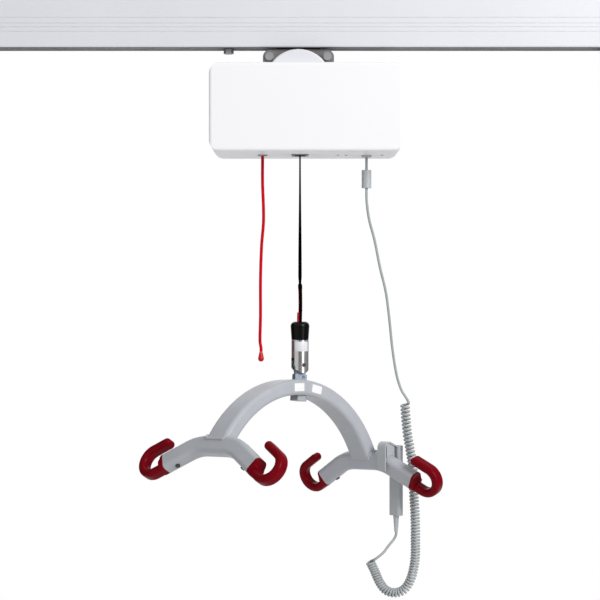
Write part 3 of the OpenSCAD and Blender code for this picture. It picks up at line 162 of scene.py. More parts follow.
def carry(path, outline, side=(0, 1, 0), turn=0.0):
    """Outline (a, b) at each path point: point + a u + b v, with u the part of side that is square
    to the path, v square to both, and the pair turned about the path by an angle in radians."""
    along = unit(np.gradient(path, axis=0))
    side = np.broadcast_to(np.asarray(side, float), path.shape)
    u = unit(side - (side * along).sum(1, keepdims=True) * along)
    v = np.cross(along, u)
    c, s = (np.broadcast_to(f(turn), len(path))[:, None] for f in (np.cos, np.sin))
    u, v = c * u + s * v, c * v - s * u
    outline = np.broadcast_to(outline, (len(path), *np.shape(outline)[-2:]))
    return path[:, None] + outline[..., :1] * u[:, None] + outline[..., 1:] * v[:, None]


# %% Grids
SHARP_EDGE = math.radians(40)


def grid_piece(name, grid, caps=True, wrap=True):
    """Mesh from one grid of points (rings, points, 3), or many of them: a quad joins each point to
    its neighbours, each ring closes on itself, and an end face closes the first and last ring."""
    grid = np.asarray(grid, float)
    grid = grid.reshape(-1, *grid.shape[-3:])
    many, n, m = grid.shape[:3]
    columns = np.arange(m if wrap else m - 1)
    g, i, j = np.meshgrid(np.arange(many), np.arange(n - 1), columns, indexing="ij")
    k, row = (j + 1) % m, (g * n + i) * m
    quads = np.stack([row + j, row + k, row + m + k, row + m + j], -1)
    ring, starts = np.arange(m), (np.arange(many) * n * m)[:, None]
    ends = np.vstack([starts + ring[::-1], starts + (n - 1) * m + ring]) if caps else starts[:0]
    faces = quads.reshape(-1, 4).tolist() + ends.tolist()
    mesh = bpy.data.meshes.new(name)
    mesh.from_pydata(grid.reshape(-1, 3).tolist(), [], faces)
    run = run_along(grid[0].mean(1))
    uv = np.zeros((len(mesh.loops), 2))
    uv[: quads.size, 0] = (np.stack([j, j + 1, j + 1, j], -1) / m).ravel()
    uv[: quads.size, 1] = run[np.stack([i, i, i + 1, i + 1], -1)].ravel()
    mesh.uv_layers.new(name="UVMap").data.foreach_set("uv", uv.ravel())
    mesh.shade_smooth()
    mesh.set_sharp_from_angle(angle=SHARP_EDGE)
    piece = bpy.data.objects.new(name, mesh)
    scene.collection.objects.link(piece)
    return piece


# %% [markdown]
# ## Emergency cord
# A red braided cord hangs from an eyelet under the casing and ends in a red knob. It is a plain
# tube along the route that the CAD cord follows; the braid is in its finish. The knob is the CAD
# part.

# %% Emergency cord
PULL_D = 0.006
PULL_STEPS, PULL_SIDES = 10, 16
PULL_ROUTE = [
    [-73, 0, -292.8], [-73, 0, -330], [-73, 0, -370], [-71, 0, -440], [-75, 0, -495],
    [-77, 0, -560], [-77, 0, -628], [-78, 0, -676], [-76, 0, -692], [-76, 0, -700],
]

pull_path = smooth_route(PULL_ROUTE, PULL_STEPS)
pull_cord = grid_piece("pull_cord_braid", carry(pull_path, circle(PULL_D / 2, PULL_SIDES)))
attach(pull_cord, "pull_cord")
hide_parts("emergency_cord")
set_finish(pull_cord, "red_cord")
print("emergency cord", round(run_along(pull_path)[-1], 3), "m")

# %% [markdown]
# ## Curly cord
# The curls are one helix round a smooth centre line that hangs down, turns and comes back up. A
# Screw modifier can only follow a straight axis, so the helix is written out. Its own weight pulls
# the curls open at the top, and they lie close together near the handset. The curls go with the
# bar.

# %% Curly cord
CURL_D = 0.0049
CURL_R = 0.0074
CURLS = 76.5
CURL_RINGS, CURL_SIDES = 22, 12
# Spacing of the curls, as a share of their mean, at shares of the way along the line
CURL_SPACING = [
    (0.0, 1.25), (0.25, 1.2), (0.48, 1.1), (0.6, 0.95), (0.8, 1.0), (0.9, 0.84), (1.0, 0.82),
]
COIL_STEPS = 16
COIL_ROUTE = [
    [211, 100, -808], [213, 100, -838], [216, 100, -868], [221, 100, -898], [226, 100, -928],
    [228, 100, -960], [229, 100, -992], [231, 100, -1024], [232, 100, -1056], [232, 100, -1084],
    [232, 100, -1110], [229, 100, -1136], [224, 101, -1156], [216, 101, -1173], [205, 102, -1184],
    [190, 103, -1188], [175, 103, -1184], [164, 104, -1173], [156, 104, -1158], [149, 105, -1141],
    [144, 105, -1131.5], [141.2, 105, -1125.5],
]


def helix_on(line, turns, radius, rings, spacing):
    """Helix round a line: the line's point at s plus radius times cos(q) u - sin(q) v, with u and
    v square to the line. The angle q grows with the sum of ds over the spacing. Gives back the
    points and their sides."""
    marks = run_along(line)
    step = np.diff(marks, prepend=0)
    grow = np.cumsum(step / np.interp(marks / marks[-1], *zip(*spacing)))
    q = np.arange(round(turns * rings) + 1) * 2 * np.pi / rings
    s = np.interp(q / q[-1] * grow[-1], grow, marks)

    def at(x):
        """Points of the line at the distances x."""
        return np.stack([np.interp(x, marks, line[:, axis]) for axis in range(3)], -1)

    along = unit(at(np.minimum(s + CURL_D, marks[-1])) - at(np.maximum(s - CURL_D, 0)))
    u = unit(np.cross(along, [0, 1, 0]))
    side = np.cos(q)[:, None] * u - np.sin(q)[:, None] * np.cross(along, u)
    return at(s) + radius * side, side


coil_line = smooth_route(COIL_ROUTE, COIL_STEPS)
curl_path, curl_side = helix_on(coil_line, CURLS, CURL_R, CURL_RINGS, CURL_SPACING)
curls = grid_piece("curly_cord", carry(curl_path, circle(CURL_D / 2, CURL_SIDES), curl_side))
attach(curls, "bar")
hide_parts("coil_cord")
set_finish(curls, "cable_grey")
print("curly cord", round(run_along(curl_path)[-1], 3), "m of cord")

# %% [markdown]
# ## Handset cable
# A grey cable leaves its socket, passes through a sleeve and hangs to the first curl. It is four
# tubes that meet end to end: one from the hoist to the coupling, and three short lengths across the
# swivel and the bar's two tilts.

# %% Handset cable
CABLE_D = 0.0052
CABLE_STEPS, CABLE_SIDES = 12, 14
CABLE_ROUTE = [
    [130, 8, -320], [130, 8, -345], [130, 8, -380], [130, 8, -390], [131, 12, -410],
    [136, 20, -442], [147, 30, -482], [158, 42, -534], [170, 54, -582], [177, 64, -630],
    [185, 80, -698], [194, 90, -750], [203, 95, -778], [210, 94.5, -790], [215, 93.8, -798],
    [217.8, 95.2, -804],
]
# Each length's name, its two bodies and the step of the route where it ends
CABLE_LENGTHS = [
    ("cable_upper", "hoist", "coupling", 108), ("cable_turn", "coupling", "swivel", 130),
    ("cable_tilt", "swivel", "tilt_ball", 145), ("cable_lower", "tilt_ball", "bar", 192),
]

cable_path = smooth_route(np.vstack([CABLE_ROUTE, 1000 * curl_path[0]]), CABLE_STEPS)
first = 0
for name, above, below, last in CABLE_LENGTHS:
    path = cable_path[first : last + 1]
    length = grid_piece(name, carry(path, circle(CABLE_D / 2, CABLE_SIDES)))
    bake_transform(length)
    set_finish(length, "cable_grey")
    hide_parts("cable_run")
    first = last
print("cable", round(run_along(cable_path)[-1], 3), "m")

# %% [markdown]
# ## Cable tail
# The curls end in a short plain length that rises into the handset's strain relief. The handset
# lifts off the bar.

# %% Cable tail
TAIL_STEPS = 10
TAIL_ROUTE = [
    [149, 101, -1121.5], [153.5, 98.8, -1118], [161, 100, -1112.6], [169.5, 104, -1105.5],
    [178.5, 109.5, -1094.5],
]
# The last points, from the middle of the strain relief's lower end
TAIL_RISE = [[-4, 0, -14], [0, 0, -5], [0, 0, 1]]

relief_low, relief_high = (1000 * np.array(corner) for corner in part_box("strain_relief"))
relief_end = np.append((relief_low + relief_high)[:2] / 2, relief_low[2])
tail_points = np.vstack([1000 * curl_path[-1], TAIL_ROUTE, relief_end + TAIL_RISE])
tail_path = smooth_route(tail_points, TAIL_STEPS)
tail = grid_piece("cable_tail_end", carry(tail_path, circle(CABLE_D / 2, CABLE_SIDES)))
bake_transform(tail)
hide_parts("cable_tail")
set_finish(tail, "cable_grey")
print("tail", round(run_along(tail_path)[-1], 3), "m")

# %% [markdown]
# ## Lifting strap
# The strap is woven black tape, seen edge on. It comes flat off the drum and twists on its way
# down. A curve with a bevel could carry the tape, but here the twist is a function of the height,
# so the sewn fold below can take the same one.

# %% The strap's line and twist
STRAP_W = 0.025
STRAP_T = 0.0024
# Heights: the drum's middle, the top of the sewn fold and the top of the coupling's cap
STRAP_TOP = -0.225
FOLD_TOP = -0.566
CAP_TOP = -0.6405
# The fold's turn, the height where most of it starts and the share that is there already
STRAP_TURN = math.radians(-6.5)
TWIST_TOP = -0.32
TWIST_SHARE = 0.35
# The single strap's extra turn and the height where it is largest
EXTRA_TURN = math.radians(-5.0)
EXTRA_LOW = -0.553


def smoothstep(t):
    """0 below 0, 1 above 1, and 3 t^2 - 2 t^3 between."""
    t = np.clip(t, 0, 1)
    return t * t * (3 - 2 * t)


def strap_turn(z):
    """Twist of the strap at height z: none at the drum, a share of the turn under the casing and
    the full turn at the fold, by smoothstep, plus an extra turn that grows down to EXTRA_LOW and
    is gone again at the fold."""
    inside = smoothstep((z - STRAP_TOP) / (TWIST_TOP - STRAP_TOP))
    below = smoothstep((z - TWIST_TOP) / (FOLD_TOP - TWIST_TOP))
    grown = smoothstep((z - TWIST_TOP) / (EXTRA_LOW - TWIST_TOP))
    remains = smoothstep((FOLD_TOP - z) / (FOLD_TOP - EXTRA_LOW))
    full = TWIST_SHARE * inside + (1 - TWIST_SHARE) * below
    return STRAP_TURN * full + EXTRA_TURN * (grown * remains)


def strap_line(top, low, count, sway):
    """Line down from top to low that bows along X by sway times the sine of half a turn."""
    z = np.linspace(top, low, count)
    x = sway * np.sin(np.pi * (z - top) / (low - top))
    return np.stack([x, 0 * z, z], -1)


# %% Lifting strap
STRAP_RINGS = 90
# Corner radius as a share of the thickness, and the length that goes into the fold
TAPE_ROUND = 0.45
STRAP_LAP = 0.006

tape = round_box(STRAP_W, STRAP_T, STRAP_T * TAPE_ROUND)
strap_path = strap_line(STRAP_TOP, FOLD_TOP - STRAP_LAP, STRAP_RINGS, 0)
strap = grid_piece("strap_tape", carry(strap_path, tape, turn=strap_turn(strap_path[:, 2])))
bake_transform(strap)
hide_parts("lifting_strap")
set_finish(strap, "strap")
print("strap", round(run_along(strap_path)[-1], 3), "m")

# %% [markdown]
# ## The strap's fold
# The strap's end goes round a pin in the coupling's cap, comes back up and is sewn to itself. So
# the lower length is about twice as thick, bulges where the cut end is turned in, and goes with
# the coupling. It is the same tape with a thickness that changes with the height.

# %% The strap's fold
FOLD_RINGS = 60
FOLD_SWAY = 0.0008
# Thickness of the second layer as a share of the first, and the length over which it sets in
FOLD_LAYER = 0.95
FOLD_RAMP = 0.004
# The bulge as a share of the thickness, its height and its reach up and down
BULGE, BULGE_AT, BULGE_REACH = 0.25, FOLD_TOP - 0.006, 0.006
CAP_LAP = 0.004

fold_path = strap_line(FOLD_TOP, CAP_TOP - CAP_LAP, FOLD_RINGS, FOLD_SWAY)
fold_z = fold_path[:, 2]
fold_in = smoothstep((FOLD_TOP - fold_z) / FOLD_RAMP)
fold_bulge = 1 + BULGE * np.exp(-(((fold_z - BULGE_AT) / BULGE_REACH) ** 2))
fold_t = STRAP_T * (1 + FOLD_LAYER * fold_in) * fold_bulge
tape_y = np.broadcast_to(tape[:, 0], (FOLD_RINGS, len(tape)))
fold_outline = np.stack([tape_y, tape[:, 1] / STRAP_T * fold_t[:, None]], -1)
fold = grid_piece("strap_fold", carry(fold_path, fold_outline, turn=strap_turn(fold_z)))
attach(fold, "coupling")
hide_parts("lifting_strap")
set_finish(fold, "strap")
print("fold", round(run_along(fold_path)[-1], 3), "m")

# %% [markdown]
# ## Stitching on the fold
# Red thread runs in a box with a cross on both faces of the fold, and a red tab is sewn in at the
# cap. Each stitch is a small capsule, all of them one grid repeated, so the thread stands up from
# the tape as it does on real webbing.

# %% Stitches
STITCH = 0.0032
STITCH_PITCH = STITCH * 1.35
# The sewn box: its top, its lower end and half its width
STITCH_TOP, STITCH_LOW = FOLD_TOP - 0.008, CAP_TOP + 0.020
ROW_IN = 0.0095
THREAD = 0.0005
THREAD_RINGS, THREAD_SIDES = 7, 6
# The least that is left of 1 - t^6 at a stitch's ends
THREAD_END = 0.05


def stitch_row(a, b):
    """Stitch centres and directions, evenly spaced on the line from a to b, given as (y, z)."""
    a, b = np.array(a), np.array(b)
    count = max(2, int(np.linalg.norm(b - a) / STITCH_PITCH))
    t = ((np.arange(count) + 0.5) / count)[:, None]
    return np.hstack([a + (b - a) * t, np.broadcast_to(unit(b - a), (count, 2))])


def on_fold(y, z, out):
    """Point of the fold's face, on side out of the strap (+1 right, -1 left): (y, half the
    thickness) turned by the strap's twist."""
    q = strap_turn(z)
    half = out * np.interp(-z, -fold_z, fold_t) / 2
    x = np.interp(-z, -fold_z, fold_path[:, 0])
    x = x - y * np.sin(q) + half * np.cos(q)
    return np.stack([x, y * np.cos(q) + half * np.sin(q), z], -1)


def thread_on(spots, out):
    """Capsules on one face of the fold: along each stitch t goes from -1 to 1, and the thread's
    radius is THREAD times the root of 1 - t^6."""
    t = np.linspace(-1, 1, THREAD_RINGS)
    swell = THREAD * np.sqrt(np.clip(1 - t**6, THREAD_END, 1))
    y, z = (spots[:, None, k] + spots[:, None, k + 2] * t * STITCH / 2 for k in (0, 1))
    across = np.stack([0 * spots[:, 0], -spots[:, 3], spots[:, 2]], -1)[:, None, None]
    ring = circle(1, THREAD_SIDES)
    around = ring[:, :1] * across + ring[:, 1:] * [1.0, 0, 0]
    return on_fold(y, z, out)[:, :, None] + swell[None, :, None, None] * around


near_top, far_top, near_low, far_low = (
    (side * ROW_IN, z) for z in (STITCH_TOP, STITCH_LOW) for side in (-1, 1)
)
box_rows = [(near_top, near_low), (far_top, far_low), (near_top, far_top), (near_low, far_low)]
cross_rows = [(near_top, far_low), (far_top, near_low)]
spots = np.vstack([stitch_row(*row) for row in box_rows + cross_rows])
threads = np.concatenate([thread_on(spots, out) for out in (-1, 1)])
stitches = grid_piece("strap_stitches", threads)
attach(stitches, "coupling")
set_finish(stitches, "red_cord")
print("stitches", len(threads))

# %% Tab
TAB_W, TAB_T = 0.021, 0.0030
TAB_TOP, TAB_LOW = CAP_TOP + 0.0175, CAP_TOP - 0.002
TAB_RINGS = 16
# Shares of the tab's thickness: how far its middle stands off the fold, and its corner radius
TAB_STAND, TAB_ROUND = 0.45, 0.42

tab_z = np.linspace(TAB_TOP, TAB_LOW, TAB_RINGS)
tab_path = on_fold(np.zeros(TAB_RINGS), tab_z, -1) - [TAB_T * TAB_STAND, 0, 0]
tab_outline = round_box(TAB_W, TAB_T, TAB_T * TAB_ROUND)
tab = grid_piece("strap_tab", carry(tab_path, tab_outline, turn=strap_turn(tab_z)))
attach(tab, "coupling")
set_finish(tab, "red_cord")
print("tab", round(run_along(tab_path)[-1], 4), "m")

# %% [markdown]
# ## Details on the spreader bar
# The arch is welded to its two cross tubes and painted, so a rounded bead runs round each foot.
# Two plain label squares sit on the arch's near face, and a set screw locks the lug. All are
# placed in the bar's own axes, which the tilt and the swivel turn, so their numbers are those of a
# bar that hangs straight.

# %% The bar's own axes
PIVOT = np.array([0.6, 0, -724.9]) / 1000
# Degrees by which the bar has swivelled and tilted, as photographed, and by which the arch is
# turned on its lug
SWIVEL, TILT_SIDE, TILT_FORE = 26, 6.2, -4.8
BAR_ON_LUG = 21.7


def turned(axis, degrees):
    """Rotation matrix about one axis: cos and sin of the angle in the plane of the other two."""
    c, s = math.cos(math.radians(degrees)), math.sin(math.radians(degrees))
    i, j = {"x": (1, 2), "y": (2, 0), "z": (0, 1)}[axis]
    m = np.eye(3)
    m[i, i], m[i, j], m[j, i], m[j, j] = c, -s, s, c
    return m


LUG_AXES = turned("z", SWIVEL) @ turned("y", TILT_SIDE) @ turned("x", TILT_FORE)
BAR_AXES = LUG_AXES @ turned("z", BAR_ON_LUG)


def in_bar(points_mm, axes=BAR_AXES):
    """Points of the bar's own frame, in mm, in the whole frame: pivot + axes times point."""
    return PIVOT + np.asarray(points_mm, float) / 1000 @ axes.T


print("bar along", (BAR_AXES @ [1, 0, 0]).round(3))

# %% Weld beads
# Place and roll of a foot in the bar's axes, in mm and degrees, and its outline
FOOT_X, FOOT_Z, FOOT_ROLL = 213.07, -173.084, 24
FOOT_W, FOOT_D, FOOT_R, FOOT_PER_CORNER = 31, 53, 9.5, 14
CROSS_W, CROSS_H, CROSS_R = 28, 36, 9
BEAD_R, BEAD_OUT = 2.6, 0.4
BEAD_STEPS, BEAD_SIDES = 6, 10
RIPPLE, RIPPLE_PITCH = 0.07, 0.0042


def bead_ring(side):
    """Closed tube round one foot of the arch: the foot's outline laid on the cross tube, whose
    rounded edge has the height sqrt(R^2 - d^2), and a radius that ripples as a sine of the way
    round."""
    foot = round_box(FOOT_W, FOOT_D, FOOT_R, FOOT_PER_CORNER)
    foot = np.vstack([foot, foot[:1]])
    past_flat = np.clip(np.abs(foot[:, 0]) - (CROSS_W / 2 - CROSS_R), 0, CROSS_R)
    height = CROSS_H / 2 - CROSS_R + np.sqrt(np.clip(CROSS_R**2 - past_flat**2, 0, None))
    reach = CROSS_W / 2 + BEAD_OUT
    local = np.stack([np.clip(foot[:, 0], -reach, reach), foot[:, 1], height], -1)
    rolled = local @ turned("y", -side * FOOT_ROLL).T + [side * FOOT_X, 0, FOOT_Z]
    path = smooth_route(in_bar(rolled) * 1000, BEAD_STEPS)[:-1]
    radius = BEAD_R / 1000 * (1 + RIPPLE * np.sin(run_along(path) * 2 * np.pi / RIPPLE_PITCH))
    path = np.vstack([path[-1:], path, path[:1]])
    radius = np.concatenate([radius[-1:], radius, radius[:1]])
    ring = carry(path, circle(1, BEAD_SIDES) * radius[:, None, None])[1:-1]
    return np.concatenate([ring, ring[:1]])


for side, name in ((-1, "left"), (1, "right")):
    bead = grid_piece(f"{name}_weld_bead", bead_ring(side), caps=False)
    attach(bead, "bar")
    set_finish(bead, "bar_paint")
    print(name, "weld bead,", len(bead.data.polygons), "faces")

# %% Label squares
ARCH_R, ARCH_CENTRE_Z, ARCH_FACE_Y = 240, -285, -26
LABEL_W, LABEL_H, LABEL_T = 28, 15.5, 0.35
LABEL_R, LABEL_PER_CORNER = 1.6, 6
# Shares of the label's outline and of its thickness, layer by layer from the arch outwards
LABEL_LAYERS = np.array([[1, 0], [1, 0.8], [0.985, 1]])
LABEL_ANGLES = {"left_label": -6.5, "right_label": 5.7}


def plate_on_arch(angle):
    """Rounded rectangle set on the arch's near face at an angle from its top, its long side along
    the arch."""
    flat = round_box(LABEL_W, LABEL_H, LABEL_R, LABEL_PER_CORNER)
    share, rise = LABEL_LAYERS[:, :1], LABEL_LAYERS[:, 1:] * LABEL_T
    x, z = share * flat[:, 0], share * flat[:, 1] + ARCH_R
    y = np.broadcast_to(ARCH_FACE_Y - rise, x.shape)
    return in_bar(np.stack([x, y, z], -1) @ turned("y", angle).T + [0, 0, ARCH_CENTRE_Z])


for name, angle in LABEL_ANGLES.items():
    label = grid_piece(name, plate_on_arch(angle))
    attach(label, "bar")
    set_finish(label, "casing_white")
print("labels on the arch:", len(LABEL_ANGLES))

# %% [markdown]
# ## Coupling label
# A plain pale label is wrapped round the polished swivel housing. It is a thin strip carried along
# an arc that is a hair wider than the housing, so it lies on the steel and bends with it.

# %% Coupling label
BAND_R, BAND_TOP, BAND_LOW = 0.01705, -0.6795, -0.6985
BAND_T, BAND_CORNER, BAND_PER_CORNER = 0.0003, 0.00014, 3
BAND_ARC, BAND_STEPS = (-128, -30), 40

q = np.radians(np.linspace(*BAND_ARC, BAND_STEPS))
middle = np.full(BAND_STEPS, (BAND_TOP + BAND_LOW) / 2)
band_path = np.stack([BAND_R * np.cos(q), BAND_R * np.sin(q), middle], -1)
band_outline = round_box(BAND_TOP - BAND_LOW, BAND_T, BAND_CORNER, BAND_PER_CORNER)
band = grid_piece("housing_label", carry(band_path, band_outline, side=(0, 0, 1)))
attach(band, "swivel")
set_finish(band, "dome_white")
print("coupling label", round(run_along(band_path)[-1], 4), "m")

# %% [markdown]
# ## Set screw
# A small socket screw sits in the lug's near face. Its head is a turned form, so a profile of
# radius and depth is swept round an axis that is square to that face.

# %% Set screw
SCREW_X, SCREW_FACE, SCREW_Z = 5, -7.0, -24
SCREW_SIDES = 24
# Radius and depth behind the lug's face, from the middle of the socket to the rim
SCREW_PROFILE = np.array(
    [[0.2, 0.2], [1.1, 0.2], [1.35, -0.5], [2.0, -0.62], [2.5, -0.4], [2.6, 0.3]]
)

radius, depth = SCREW_PROFILE[:, :1], SCREW_PROFILE[:, 1:]
x, z = (radius * axis for axis in circle(1, SCREW_SIDES).T)
y = np.broadcast_to(SCREW_FACE + depth, x.shape)
screw_grid = np.stack([SCREW_X + x, y, SCREW_Z + z], -1)
screw = grid_piece("lug_set_screw", in_bar(screw_grid, LUG_AXES)[::-1])
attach(screw, "bar")
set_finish(screw, "dark_steel")
print("set screw", 2 * radius.max(), "mm across")

# %% [markdown]
# ## Shared surface effects
# The finishes share a few effects: a cloudy tone, a fine grain, smudges in the gloss, paler edges
# (wear where hands and slings rub, and on the hooks partly painted highlight), turned or drawn
# lines and a weave. Each is a node group that puts out a colour, a mask or a height; the shader
# itself stays in the material, where an export can read it.

# %% Node helpers
# A Mix node has a socket of each kind; these are the numbers of its colour sockets
MIX_A, MIX_B, MIX_RESULT = 6, 7, 2


def linear(r, g, b):
    """Screen colour 0 to 255 as linear light: ((c + 0.055) / 1.055) to the power 2.4, and
    c / 12.92 near black."""
    c = np.array([r, g, b]) / 255
    return (*np.where(c <= 0.04045, c / 12.92, ((c + 0.055) / 1.055) ** 2.4), 1.0)


def add(tree, kind, **settings):
    """New node; a setting is a property if the node has it, and otherwise an input's value."""
    node = tree.nodes.new("ShaderNode" + kind)
    for key, value in settings.items():
        if hasattr(node, key):
            setattr(node, key, value)
        else:
            node.inputs[key.replace("_", " ")].default_value = value
    return node


def plug(tree, source, target):
    """Link an output socket to an input socket, or set the input to a plain number or colour."""
    if isinstance(source, (int, float, tuple)):
        target.default_value = source
    else:
        tree.links.new(source, target)


def calc(tree, operation, *terms):
    """Math node on one to three terms, each a socket or a number; gives back its output."""
    node = add(tree, "Math", operation=operation)
    for k, term in enumerate(terms):
        plug(tree, term, node.inputs[k])
    return node.outputs[0]


def between(tree, value, low, high, out_low, out_high):
    """Map Range: a value from low to high becomes a number from out_low to out_high."""
    node = add(tree, "MapRange")
    for k, term in enumerate((value, low, high, out_low, out_high)):
        plug(tree, term, node.inputs[k])
    return node.outputs[0]


def mix_colours(tree, share, a, b, kind="MIX"):
    """Colour a where share is 0 and b where it is 1, or a times b for the kind MULTIPLY."""
    node = add(tree, "Mix", data_type="RGBA", blend_type=kind)
    for socket, source in ((0, share), (MIX_A, a), (MIX_B, b)):
        plug(tree, source, node.inputs[socket])
    return node.outputs[MIX_RESULT]


# %% Noise helpers
# Noise goes from 0 to 1, but most of it lies between these two
NOISE_LOW, NOISE_HIGH = 0.3, 0.7


def object_noise(tree, scale, detail=3.0, stretch=None):
    """Noise on Object coordinates, stretched along the axes where asked; gives back its value."""
    where = add(tree, "TexCoord").outputs["Object"]
    if stretch:
        shaped = add(tree, "Mapping")
        shaped.inputs["Scale"].default_value = stretch
        tree.links.new(where, shaped.inputs["Vector"])
        where = shaped.outputs[0]
    noise = add(tree, "TexNoise", Detail=detail)
    tree.links.new(where, noise.inputs["Vector"])
    plug(tree, scale, noise.inputs["Scale"])
    return noise.outputs[0]


def cloudy(tree, middle, spread, scale, detail):
    """Number that drifts over the surface from middle - spread to middle + spread."""
    low, high = (calc(tree, sign, middle, spread) for sign in ("SUBTRACT", "ADD"))
    return between(tree, object_noise(tree, scale, detail), NOISE_LOW, NOISE_HIGH, low, high)


def new_group(name, inputs, outputs):
    """Empty shader node group with named inputs (a default value each) and outputs (a socket kind
    each)."""
    tree = bpy.data.node_groups.new(name, "ShaderNodeTree")
    for label, value in inputs.items():
        kind = "NodeSocketColor" if isinstance(value, tuple) else "NodeSocketFloat"
        tree.interface.new_socket(label, in_out="INPUT", socket_type=kind).default_value = value
    for label, kind in outputs.items():
        tree.interface.new_socket(label, in_out="OUTPUT", socket_type="NodeSocket" + kind)
    return tree, tree.nodes.new("NodeGroupInput").outputs, tree.nodes.new("NodeGroupOutput").inputs


# %% Cloudy tone, grain and smudges
TONE, given, result = new_group(
    "Cloudy tone", {"Color": (0.5, 0.5, 0.5, 1.0), "Scale": 20.0, "Spread": 0.05},
    {"Color": "Color"},
)
shade = add(TONE, "HueSaturation")
value = cloudy(TONE, 1.0, given["Spread"], given["Scale"], detail=3.0)
TONE.links.new(value, shade.inputs["Value"])
TONE.links.new(given["Color"], shade.inputs["Color"])
TONE.links.new(shade.outputs[0], result["Color"])

GRAIN, given, result = new_group("Fine grain", {"Scale": 900.0}, {"Height": "Float"})
GRAIN.links.new(object_noise(GRAIN, given["Scale"], detail=2.0), result["Height"])

SMUDGE, given, result = new_group(
    "Smudges", {"Roughness": 0.4, "Spread": 0.06, "Scale": 24.0}, {"Roughness": "Float"}
)
gloss = cloudy(SMUDGE, given["Roughness"], given["Spread"], given["Scale"], detail=4.0)
SMUDGE.links.new(gloss, result["Roughness"])
print("tone, grain and smudges:", [group.name for group in (TONE, GRAIN, SMUDGE)])

# %% Paler edges: wear, and painted highlights on the hooks
# Cosine between the rounded and the true normal where the paler edge starts, and where it is full
PALE_EDGE_STARTS, PALE_EDGE_FULL = 0.98, 0.80
# Noise values between which a patch of the paler edge fades in
PATCH_LOW, PATCH_HIGH = 0.42, 0.62

EDGE, given, result = new_group(
    "Rubbed edges and painted highlights", {"Radius": 0.001, "Scale": 60.0, "Amount": 0.5}, {"Mask": "Float"}
)
rounded = add(EDGE, "Bevel", samples=4)
EDGE.links.new(given["Radius"], rounded.inputs["Radius"])
dot = add(EDGE, "VectorMath", operation="DOT_PRODUCT")
EDGE.links.new(rounded.outputs[0], dot.inputs[0])
EDGE.links.new(add(EDGE, "NewGeometry").outputs["Normal"], dot.inputs[1])
paler_edge = between(EDGE, dot.outputs["Value"], PALE_EDGE_STARTS, PALE_EDGE_FULL, 0.0, 1.0)
patchy = between(EDGE, object_noise(EDGE, given["Scale"]), PATCH_LOW, PATCH_HIGH, 0.0, 1.0)
mask = calc(EDGE, "MULTIPLY", calc(EDGE, "MULTIPLY", paler_edge, patchy), given["Amount"])
EDGE.links.new(mask, result["Mask"])
print("edges:", EDGE.name)

# %% Turned lines, drawn lines and weave
# A lathe leaves rings about Z, and an extrusion die leaves lines along X
RINGS_STRETCH = (1.0, 1.0, 90.0)
LINES_STRETCH = (0.6, 130.0, 130.0)

LINES, given, result = new_group("Turned lines", {"Scale": 20.0}, {"Height": "Float"})
LINES.links.new(object_noise(LINES, given["Scale"], stretch=RINGS_STRETCH), result["Height"])

DRAWN, given, result = new_group("Drawn lines", {"Scale": 6.0}, {"Height": "Float"})
DRAWN.links.new(object_noise(DRAWN, given["Scale"], stretch=LINES_STRETCH), result["Height"])

# Half of 1 plus the product of two waves: along and across the tape for Skew 0, and on two slants,
# as in a braid, for Skew 1
WEAVE, given, result = new_group(
    "Weave", {"Across": 12.0, "Along": 400.0, "Skew": 0.0}, {"Height": "Float"}
)
place = add(WEAVE, "SeparateXYZ")
WEAVE.links.new(add(WEAVE, "UVMap", uv_map="UVMap").outputs[0], place.inputs[0])
over = calc(WEAVE, "MULTIPLY", place.outputs[0], given["Across"])
down = calc(WEAVE, "MULTIPLY", place.outputs[1], given["Along"])
warp = calc(WEAVE, "MULTIPLY_ADD", given["Skew"], down, over)
back = calc(WEAVE, "MULTIPLY_ADD", down, -2.0, over)
weft = calc(WEAVE, "MULTIPLY_ADD", given["Skew"], back, down)
waves = [calc(WEAVE, "SINE", calc(WEAVE, "MULTIPLY", x, 2 * math.pi)) for x in (warp, weft)]
height = calc(WEAVE, "MULTIPLY_ADD", calc(WEAVE, "MULTIPLY", *waves), 0.5, 0.5)
WEAVE.links.new(height, result["Height"])
print("relief:", [group.name for group in (LINES, DRAWN, WEAVE)])

# %% [markdown]
# ## Finishes
# A finish starts from one colour as it looks in the photograph. The cloudy tone keeps it from
# being flat, the smudges move its gloss, and the grain, the lines or the weave give it relief,
# which also paints shade into its own low parts and light onto its high parts. Edges that hands
# and slings rub are a little paler, and on the hooks this is partly painted highlight. The rail's
# underside is painted darker than its sides, as painted shade.

# %% The finish maker
UNDERSIDE_SHADE_FADE = 0.0008


